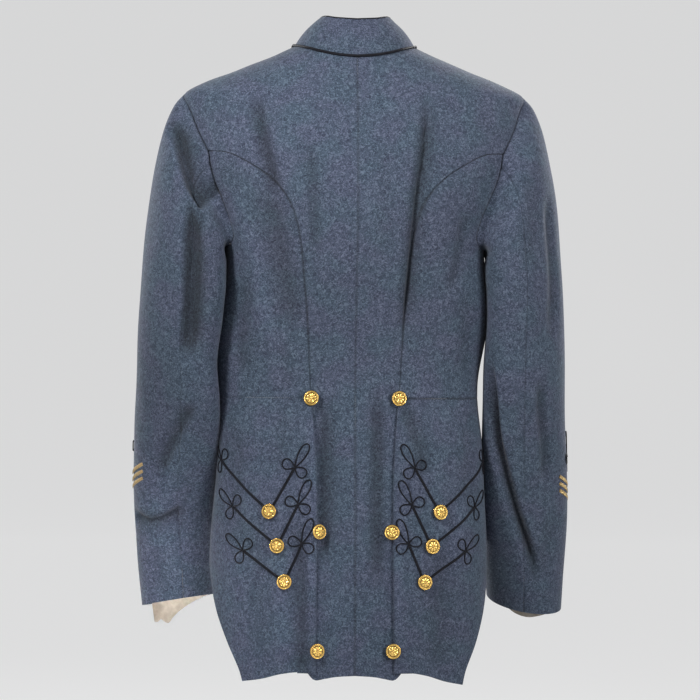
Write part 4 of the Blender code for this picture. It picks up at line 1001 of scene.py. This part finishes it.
def make_sateen():
    """Cotton sateen: a fine weave with a soft sheen and faint soiling."""
    material, tree, shader = new_material("cream_lining", SATEEN, 0.6, sheen_weight=0.2)
    place = add_node(tree, "TexCoord").outputs["Object"]
    soil = add_node(tree, "TexNoise", vector=place, scale=60.0, detail=4.0, roughness=0.6)
    tone = add_node(tree, "ValToRGB", at_0=soil.outputs["Fac"])
    for step, at, share in zip(tone.color_ramp.elements, (0.3, 0.62), (0.66, 1.0)):
        step.position, step.color = at, (SATEEN[0] * share, SATEEN[1] * share**1.2, SATEEN[2] * share**1.5, 1)
    tree.links.new(tone.outputs["Color"], shader.inputs["Base Color"])
    weave = add_node(tree, "TexNoise", vector=place, scale=1500.0, detail=1.0)
    emboss(tree, shader, weave.outputs["Fac"], 0.3, 0.0002)
    return material


sateen = make_sateen()
for side in SIDES:
    numbers = np.linspace(0, ARMHOLE_COUNT, LINING_COLUMNS)[:-1]
    stations = np.linspace(LAST_STATION - LINING_TOP, LAST_STATION, LINING_ROWS)
    rings, leans, _ = sleeve_face(numbers, stations, side)
    rings = rings - leans * LINING_INSET
    across, behind = rings[-1, :, 0], ease(*LINING_BEHIND, leans[-1, :, 1])
    edge = smooth(*np.array(LINING_EDGE[side], float), across)
    hidden = np.maximum(behind, ease(-0.6, 0.6, across - LINING_HIDDEN[side]))
    drop = (rings[-1, :, 2] - edge) * (1 - hidden) - LINING_DRAWN_IN * hidden
    way = unit(rings[-1] - rings[-3])
    end = rings[-1] + way * (drop / np.maximum(-way[:, 2], 0.3))[:, None]
    share = ease(0, 1, np.linspace(0, 1, 9))[1:, None, None]
    keep = rings[:6]
    points = np.concatenate((keep, keep[-1] + (end - keep[-1]) * share))
    faces = grid_faces(*points.shape[:2], ring=True)[:, ::-1]
    flat = np.zeros(points.shape[:2])
    node = sided("cuff_lining", side)
    piece = cloth_piece("sateen_" + node, points, faces, side, sateen, flat, LINING_CLOTH)
    hang_sheet(piece, points, node)


# The collar: a standing collar of two layers of the wool, stitched to the neckline, sloped down to
# its hooked front ends, with black cord in its seam and round its upper edge.
COLLAR_CLOTH, COLLAR_BULGE, COLLAR_START, CENTRE_GAP = 3.0, 3.0, 0.7, 0.6
COLLAR_COLUMNS, COLLAR_ROWS = 90, 22
# The collar's upper edge: turn from the centre back in degrees, and the point
COLLAR_TOP = ((0, 0, 60, 42), (30, 26, 54, 44), (58, 42, 37, 47.5), (90, 47, 5, 44))
COLLAR_TOP = np.array(COLLAR_TOP + ((125, 38, -38, 22), (155, 18, -68, -10), (180, 0, -76, -28)))
CORD_COLOUR = (0.0030, 0.0034, 0.0085, 1.0)
# Sides of the section of a braid, of the piping and of a bar
CORD_SIDES, PIPING_SIDES, LACE_SIDES = 10, 12, 14
PIPING_RADIUS, PIPING_STAND, EDGE_RADIUS, EDGE_HALF_WIDTH = 1.75, 1.3, 1.35, 1.7

neck_back = ends_on_body([row[:2] for row in BACK_ROWS[SHOULDER_ROW::-1]], LEFT)
neck_front = ends_on_body(FRONT_INNER[:NECK_CORNER] + ((0, -77),), LEFT, front=True)
neck_ends = np.concatenate((neck_back, ((QUARTER, SECTIONS[-1, 0]),), neck_front))
neck_points, neck_leans, _ = torso_frame(neck_ends[:, 0], neck_ends[:, 1], LEFT)
neck_length = run_lengths(neck_points[None])[0]
half_stops = np.linspace(0, neck_length[-1], COLLAR_COLUMNS)
half_base = curve_at(neck_length, neck_points, half_stops)
half_leans = unit(curve_at(neck_length, neck_leans, half_stops))
half_turns = 180 * half_stops / neck_length[-1]
half_top = curve_at(COLLAR_TOP[:, 0], COLLAR_TOP[:, 1:], half_turns)
base, top, body_leans = (
    np.concatenate((half[:0:-1] * (-1, 1, 1), half)) for half in (half_base, half_top, half_leans)
)
for edge in (base, top):
    edge[0, 0], edge[-1, 0] = -CENTRE_GAP, CENTRE_GAP
rise = unit(top - base)
outward = unit(np.cross(np.gradient(base, axis=0), rise)) * -1
outward *= np.sign((outward * base * (1, 1, 0)).sum(-1, keepdims=True))
shares = np.linspace(0, 1, COLLAR_ROWS)[:, None, None]
start = base + rise * COLLAR_START
collar_face = start + (top - start) * shares + outward * COLLAR_BULGE * np.sin(math.pi * shares)
collar_face = collar_face - outward * unevenness(collar_face, LEFT)[..., None] * ease(0, 0.2, 1 - shares)
faces = grid_faces(*collar_face.shape[:2])[:, ::-1]
collar_inner = collar_face - outward * COLLAR_CLOTH
flat = np.zeros(collar_face.shape[:2])
piece = cloth_piece("wool_collar", collar_face, faces, LEFT, wool, flat, inner=collar_inner)
hang_sheet(piece, collar_face, "collar")


def make_cord_finish():
    """Black braided cord: a twist that runs round it, by its own length, and a dull sheen."""
    material, tree, shader = new_material("black_soutache", CORD_COLOUR, 0.6, specular_ior_level=0.3)
    length = add_node(tree, "UVMap").outputs["UV"]
    twist = add_node(tree, "TexWave", bands_direction="DIAGONAL", vector=length, scale=1.0, distortion=0.4)
    emboss(tree, shader, twist.outputs["Fac"], 0.7, 0.0003)
    return material


def cord_mesh(name, paths, material, sides=CORD_SIDES):
    """Round cords: a circle carried along each path, which gives its points, its normals and the
    circle's half width and half height. UV is the twist's place along and round the cord."""
    vertices, faces, places, count = [], [], [], 0
    spin = spokes(sides)
    for points, normals, half_width, half_height in paths:
        way = unit(np.gradient(points, axis=0))
        beside = unit(np.cross(way, normals))
        above = np.cross(beside, way)
        ring = points[:, None] + beside[:, None] * (half_width * np.cos(spin))[:, None]
        ring = ring + above[:, None] * (half_height * np.sin(spin))[:, None]
        vertices += [ring.reshape(-1, 3), points[:1], points[-1:]]
        rows = len(points)
        body = grid_faces(rows, sides, ring=True)[:, ::-1] + count
        faces.append(body)
        hub = count + rows * sides
        rim = np.arange(sides)
        caps = np.stack((np.full(sides, hub), count + rim, count + np.roll(rim, -1)), -1)
        ends = np.stack((np.full(sides, hub + 1), hub - sides + np.roll(rim, -1), hub - sides + rim), -1)
        faces += [caps, ends]
        length = run_lengths(points[None])[0]
        places += [np.stack(np.broadcast_arrays(length[:, None], spin[None] / math.pi), -1).reshape(-1, 2)]
        places += [np.zeros((2, 2))]
        count = hub + 2
    vertices, places = np.concatenate(vertices), np.concatenate(places)
    mesh = bpy.data.meshes.new(name)
    mesh.from_pydata((vertices * MM).tolist(), [], [face for part in faces for face in part.tolist()])
    mesh.shade_smooth()
    mesh.materials.append(material)
    layer = mesh.uv_layers.new(name="UVMap")
    corner = np.zeros(len(mesh.loops), np.int32)
    mesh.loops.foreach_get("vertex_index", corner)
    layer.data.foreach_set("uv", places[corner].astype(np.float32).ravel())
    return link(bpy.data.objects.new(name, mesh))


def dress(piece, node):
    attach(piece, "root")
    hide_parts(node)


cord = make_cord_finish()
wedge = unit(body_leans + outward)
line = base + wedge * PIPING_STAND
piece = cord_mesh("cord_collar_base", [(line, wedge, PIPING_RADIUS, PIPING_RADIUS)], cord, PIPING_SIDES)
dress(piece, "collar_piping_base")
above = unit(np.cross(outward, np.gradient(top, axis=0)))
above *= np.sign((above * rise).sum(-1, keepdims=True))
line = top - outward * COLLAR_CLOTH / 2 + above * (EDGE_RADIUS * 0.8)
piece = cord_mesh("cord_collar_top", [(line, above, EDGE_HALF_WIDTH, EDGE_RADIUS)], cord, PIPING_SIDES)
dress(piece, "collar_piping_top")


# The braid on the skirts: three Vs of black soutache each side. One cord runs up an arm, lays a round
# loop, a pointed leaf and a round loop at its end, and runs back beside itself.
SKIRT_BRAIDS = (
    ("upper", (107.7, -587), (76.3, -531), (168, -524)),
    ("middle", (97.6, -630), (72, -577.5), (155.5, -582)),
    ("lower", (88, -675), (67.7, -627), (142, -637)),
)
CORD_WIDTH, CORD_HEIGHT, ARM_SPLIT = 1.8, 1.6, 0.8
# Loops of a knot: direction from the arm's in degrees, length, width, and whether it is laid clockwise
KNOT_LOOPS = ((97, 17.5, 14.5, True), (0, 34.0, 12.0, False), (-97, 17.5, 14.5, True))
# A cord's middle stands off the cloth by this share of its height
CORD_STEP, CORD_SEAT = 0.9, 0.42
# Where a loop leaves the knot, in radians of its turn, where the arm ends and how far crossings reach
PETAL_START, ARM_END, CROSSING_REACH = 0.42, -5.5, 4.5


def petal(direction, length, width, backwards):
    """Middle line of a loop that leaves a knot and comes back: its way out is L (1 - cos t) / 2, and
    its way across grows with sin t and the square root of the way out."""
    t = np.linspace(PETAL_START, 2 * math.pi - PETAL_START, 15)
    t = t[::-1] if backwards else t
    out = length * (1 - np.cos(t)) / 2
    across = width / 2 * 1.15 * np.sin(t) * np.sqrt(out / length)
    angle = math.radians(direction)
    cosine, sine = math.cos(angle), math.sin(angle)
    return np.stack((out * cosine + across * sine, out * sine - across * cosine), -1)


def trefoil(point, hub):
    """The cord of one arm and its knot as (along, level), and its lift where it crosses itself."""
    way = unit(hub - point)
    beside = np.array((-way[1], way[0]))
    far = np.linalg.norm(hub - point)
    arm = np.stack((np.linspace(-far, ARM_END, 9), np.full(9, ARM_SPLIT)), -1)
    loops = [petal(*loop) for loop in KNOT_LOOPS]
    local = np.concatenate((arm, *loops, (arm * (1, -1))[::-1]))
    length = run_lengths(local[None])[0]
    stops = np.linspace(0, length[-1], round(length[-1] / CORD_STEP))
    path = curve_at(length, local, stops)
    passes = np.cumsum([len(arm)] + [len(loop) for loop in loops])
    crossing = np.interp(stops, length[passes - 1], (0.0, 0.5, 1.0, 0.4))
    near = np.exp(-((np.linalg.norm(path, axis=-1) / CROSSING_REACH) ** 2))
    return hub + path[:, :1] * way + path[:, 1:] * beside, crossing * near


def laid_cord(points, leans, lift, side):
    """The path of a braid for cord_mesh: it stands on the cloth and rises where it crosses itself."""
    points = points + leans * (CORD_HEIGHT * CORD_SEAT + lift)[:, None]
    return points * (side, 1, 1), leans * (side, 1, 1), CORD_WIDTH / 2, CORD_HEIGHT / 2


def skirt_place(flat, side):
    """Points and normals on a skirt's face, folds and all, at places (along, level)."""
    along, levels = flat[:, 0], flat[:, 1]
    body, lean, _ = torso_frame(turn_along(along, levels, side), levels, side)
    starts = pleat_along(levels, side)
    sink = fold_field(body, SKIRT_FOLDS[side] + PLEAT_FOLDS[side]) + unevenness(body, side)
    return body + lean * (skirt_rise(along - starts) - sink)[:, None], lean


def on_body(pair, side):
    """(along, level) of a place (across, level)."""
    across, level = pair
    return np.array((along_at(turn_at([across], [level], side), [level], side)[0], level))


for side in SIDES:
    for name, point, *hubs in SKIRT_BRAIDS:
        paths = []
        for hub in hubs:
            flat, lift = trefoil(on_body(point, side), on_body(hub, side))
            points, leans = skirt_place(flat, side)
            paths.append(laid_cord(points, leans, lift, side))
        piece = cord_mesh(sided("cord_skirt_" + name, side), paths, cord)
        dress(piece, sided("skirt_braid_" + name, side))


# The buttons: stamped and gilt, low domes with a rolled rim, a roped ring and a plain rosette. Three
# stand on each pleat, one on the point of each V and nine close the front.
BUTTON_RADIUS, BUTTON_STEPS, BUTTON_SPOKES = 9.75, 30, 84
# Gilt, and the dark of patina in the hollows and of painted shade at a button's edge
GILT, GILT_DARK = (0.88, 0.58, 0.17, 1.0), (0.09, 0.045, 0.012, 1.0)
PLEAT_BUTTONS = (("hip", 55.5, -443), ("middle", 46.5, -612), ("bottom", 48, -761))
# How far a pleat button has turned towards the centre, in degrees, and how far it then stands out
BUTTON_TURNS = {("middle", LEFT): (34, 3.2), ("bottom", LEFT): (24, 2.2), ("middle", RIGHT): (12, 0.8)}
FRONT_BUTTONS, FRONT_BUTTON_TOP, FRONT_BUTTON_BOTTOM = 9, -98.0, -428.0
# How far a button stands off the cloth, and how far where the braid lies under it
BUTTON_SEAT, BRAID_SEAT = 0.3, 1.2


def make_gilt():
    """Gilt brass: bright on what stands up, dark with old polish in the hollows, and with painted shade on
    its outer edge and side wall.
    """
    material, tree, shader = new_material("gilt_brass", GILT, 0.3, metallic=1.0)
    patina_and_edge_shade = add_node(tree, "Attribute", attribute_name="patina_and_edge_shade")
    place = add_node(tree, "TexCoord").outputs["Object"]
    wear = add_node(tree, "TexNoise", vector=place, scale=900.0, detail=3.0)
    dull = add_node(tree, "Math", operation="MULTIPLY_ADD", at_0=wear.outputs["Fac"], at_1=0.4, at_2=-0.2)
    mask = add_node(tree, "Math", operation="ADD", use_clamp=True, at_1=dull.outputs[0])
    tree.links.new(patina_and_edge_shade.outputs["Fac"], mask.inputs[0])
    mixed = add_node(tree, "Mix", data_type="RGBA", at_0=mask.outputs[0], at_6=GILT, at_7=GILT_DARK)
    tree.links.new(mixed.outputs[2], shader.inputs["Base Color"])
    rough = add_node(tree, "MapRange", at_0=mask.outputs[0], at_1=0.0, at_2=1.0, at_3=0.24, at_4=0.6)
    tree.links.new(rough.outputs[0], shader.inputs["Roughness"])
    return material


def button_form():
    """Points, faces and dark shares of a button that faces +Z: patina in its hollows and painted shade
    on its outer edge and side wall. Its height is a dome, with the rim, the rope and the rosette's
    eight petals as bells and ripples of the radius and the turn."""
    radius = BUTTON_RADIUS * np.sin(np.linspace(0.02, QUARTER, BUTTON_STEPS))[:, None]
    spin = spokes(BUTTON_SPOKES)[None]
    dome = 2.9 + 2.1 * np.sqrt(np.clip(1 - (radius / 10.6) ** 2, 0, 1))
    rim = 0.75 * np.exp(-(((radius - 8.9) / 0.55) ** 2))
    rope = np.exp(-(((radius - 7.55) / 0.4) ** 2)) * (0.25 + 0.35 * np.cos(14 * spin + 1.2 * radius) ** 2)
    petals = np.abs(np.cos(4 * spin)) ** 0.7 * ease(1.3, 2.2, radius) * (1 - ease(5.6, 6.6, radius))
    boss = np.exp(-((radius / 1.1) ** 2))
    relief = rim + rope + 0.75 * petals + 0.8 * boss
    height = dome + relief - 0.55
    # Dark as patina in the relief's hollows, and painted shade on the outermost edge of the rim
    patina_and_edge_shade = np.maximum(1 - ease(0.05, 0.5, relief), ease(9.25, 9.6, radius))
    edge = np.array(((9.75, 3.0), (9.55, 2.2), (8.6, 1.6), (2.6, 1.3), (2.4, -0.6)))
    radius = np.concatenate((radius + 0 * spin, edge[:, :1] + 0 * spin))
    height = np.concatenate((height, edge[:, 1:] + 0 * spin))
    # The side wall and back carry painted shade
    patina_and_edge_shade = np.concatenate((patina_and_edge_shade, np.full((len(edge), BUTTON_SPOKES), 0.6)))
    points = np.stack((radius * np.cos(spin), radius * np.sin(spin), height), -1)
    faces = grid_faces(*points.shape[:2], ring=True)
    return points.reshape(-1, 3), faces, patina_and_edge_shade.ravel()


button_points, button_faces, button_patina_and_edge_shade = button_form()
gilt = make_gilt()


def place_button(name, point, normal, node, turned=0.0):
    """A button standing on a point and facing along a normal, closed over at its middle and back."""
    normal = unit(np.asarray(normal, float))
    level = unit(np.cross((0.0, 0.0, 1.0), normal))
    up = np.cross(normal, level)
    cosine, sine = math.cos(turned), math.sin(turned)
    first, second = level * cosine + up * sine, up * cosine - level * sine
    placed = point + button_points @ np.stack((first, second, normal))
    ring = np.arange(BUTTON_SPOKES)
    faces = button_faces.tolist() + [ring[::-1].tolist(), (len(placed) - BUTTON_SPOKES + ring).tolist()]
    mesh = bpy.data.meshes.new(name)
    mesh.from_pydata((placed * MM).tolist(), [], [face[::-1] for face in faces])
    mesh.shade_smooth()
    mesh.materials.append(gilt)
    patina_and_edge_shade = mesh.attributes.new("patina_and_edge_shade", "FLOAT", "POINT")
    patina_and_edge_shade.data.foreach_set("value", button_patina_and_edge_shade.astype(np.float32))
    dress(link(bpy.data.objects.new(name, mesh)), node)


for side in SIDES:
    mirror = np.array((side, 1, 1))
    for name, across, level in PLEAT_BUTTONS:
        body, lean, _ = torso_frame(turn_at(across, level, side), level, side)
        tilt, out = BUTTON_TURNS.get((name, side), (0, 0.0))
        cosine, sine = math.cos(math.radians(tilt)), math.sin(math.radians(tilt))
        facing = np.array((lean[0] * cosine - lean[1] * sine, lean[1] * cosine + lean[0] * sine, lean[2]))
        point = (body + lean * (PLEAT_RISE + BUTTON_SEAT + out)) * mirror
        node = sided("pleat_button_" + name, side)
        place_button("gilt_" + node, point, facing * mirror, node, 0.3 * side)
    for number, (name, point, *_) in enumerate(SKIRT_BRAIDS):
        points, leans = skirt_place(on_body(point, side)[None], side)
        node = sided("braid_button_" + name, side)
        seat = (points[0] + leans[0] * BRAID_SEAT) * mirror
        place_button("gilt_" + node, seat, leans[0] * mirror, node, 0.4 * number)
for number, level in enumerate(np.linspace(FRONT_BUTTON_TOP, FRONT_BUTTON_BOTTOM, FRONT_BUTTONS), 1):
    body, lean, _ = torso_frame(math.pi, level, LEFT)
    node = f"front_button_{number}"
    place_button("gilt_" + node, body + lean * BUTTON_SEAT, lean, node, 0.2 * number)


# The sleeve trim: three pointed bars of gold lace on the outer side of each sleeve, and a looped knot
# of black cord above them.
BAR_WIDTH, BAR_HEIGHT, BAR_SPACING, BAR_HALF_SPAN, BAR_RISE = 4.8, 1.3, 9.2, 36.0, 13.0
BAR_LEVEL = {LEFT: -531.0, RIGHT: -544.0}
SLEEVE_KNOT_RISE, SLEEVE_KNOT_STEM = 24.0, 19.0
SLEEVE_KNOT_AHEAD = {LEFT: 18.0, RIGHT: 2.0}
LACE, LACE_DARK = (0.62, 0.44, 0.18, 1.0), (0.13, 0.08, 0.03, 1.0)
# The stretch of a sleeve that trim may lie on, round it and down it
TRIM_NUMBERS, TRIM_STATIONS = np.linspace(-3.6, 3.6, 73), np.linspace(7, 10, 61)


def make_lace():
    """Gold lace: metal threads across the bar with darker silk between."""
    material, tree, shader = new_material("gold_lace", LACE, 0.38, metallic=0.7)
    length = add_node(tree, "UVMap").outputs["UV"]
    rib = add_node(tree, "TexWave", bands_direction="X", vector=length, scale=0.5, distortion=0.3)
    tone = add_node(tree, "Mix", data_type="RGBA", at_0=rib.outputs["Fac"], at_6=LACE_DARK, at_7=LACE)
    tree.links.new(tone.outputs[2], shader.inputs["Base Color"])
    emboss(tree, shader, rib.outputs["Fac"], 0.8, 0.0004)
    return material


def sleeve_place(flat, side):
    """Points and normals on the outer side of a sleeve at places (round, level): round is the
    distance on the cloth behind the sleeve's outermost line."""
    stations, middle = TRIM_STATIONS, len(TRIM_NUMBERS) // 2
    points, leans, _ = sleeve_face(TRIM_NUMBERS, stations, side)
    length = run_lengths(points)
    length = length - length[:, middle : middle + 1]
    count = len(flat)
    at = np.broadcast_to(flat[:, 0], (len(stations), count))
    lines = [row_interp(at, length, values[..., k]) for values in (points, leans) for k in range(3)]
    levels = -lines[2].T
    share = row_interp(-flat[:, 1:2], levels, np.broadcast_to(stations, levels.shape))
    placed = [row_interp(share, np.broadcast_to(stations, levels.shape), line.T)[:, 0] for line in lines]
    return np.stack(placed[:3], -1), unit(np.stack(placed[3:], -1))


lace = make_lace()
for side in SIDES:
    mirror = np.array((side, 1, 1))
    for number in range(3):
        level = BAR_LEVEL[side] - BAR_SPACING * number
        round_way = np.linspace(-BAR_HALF_SPAN, BAR_HALF_SPAN, 81)
        middle = level - BAR_RISE * (1 - np.abs(round_way) / BAR_HALF_SPAN)
        points, leans = sleeve_place(np.stack((round_way, middle), -1), side)
        points = points + leans * (BAR_HEIGHT * 0.4)
        node = sided(f"sleeve_bar_{number + 1}", side)
        path = (points * mirror, leans * mirror, BAR_WIDTH / 2, BAR_HEIGHT / 2)
        dress(cord_mesh("lace_" + node, [path], lace, LACE_SIDES), node)
    hub = np.array((-SLEEVE_KNOT_AHEAD[side], BAR_LEVEL[side] + SLEEVE_KNOT_RISE))
    flat, lift = trefoil(hub - (0, SLEEVE_KNOT_STEM), hub)
    points, leans = sleeve_place(flat, side)
    path = laid_cord(points, leans, lift, side)
    piece = cord_mesh(sided("cord_sleeve", side), [path], cord)
    dress(piece, sided("sleeve_braid", side))
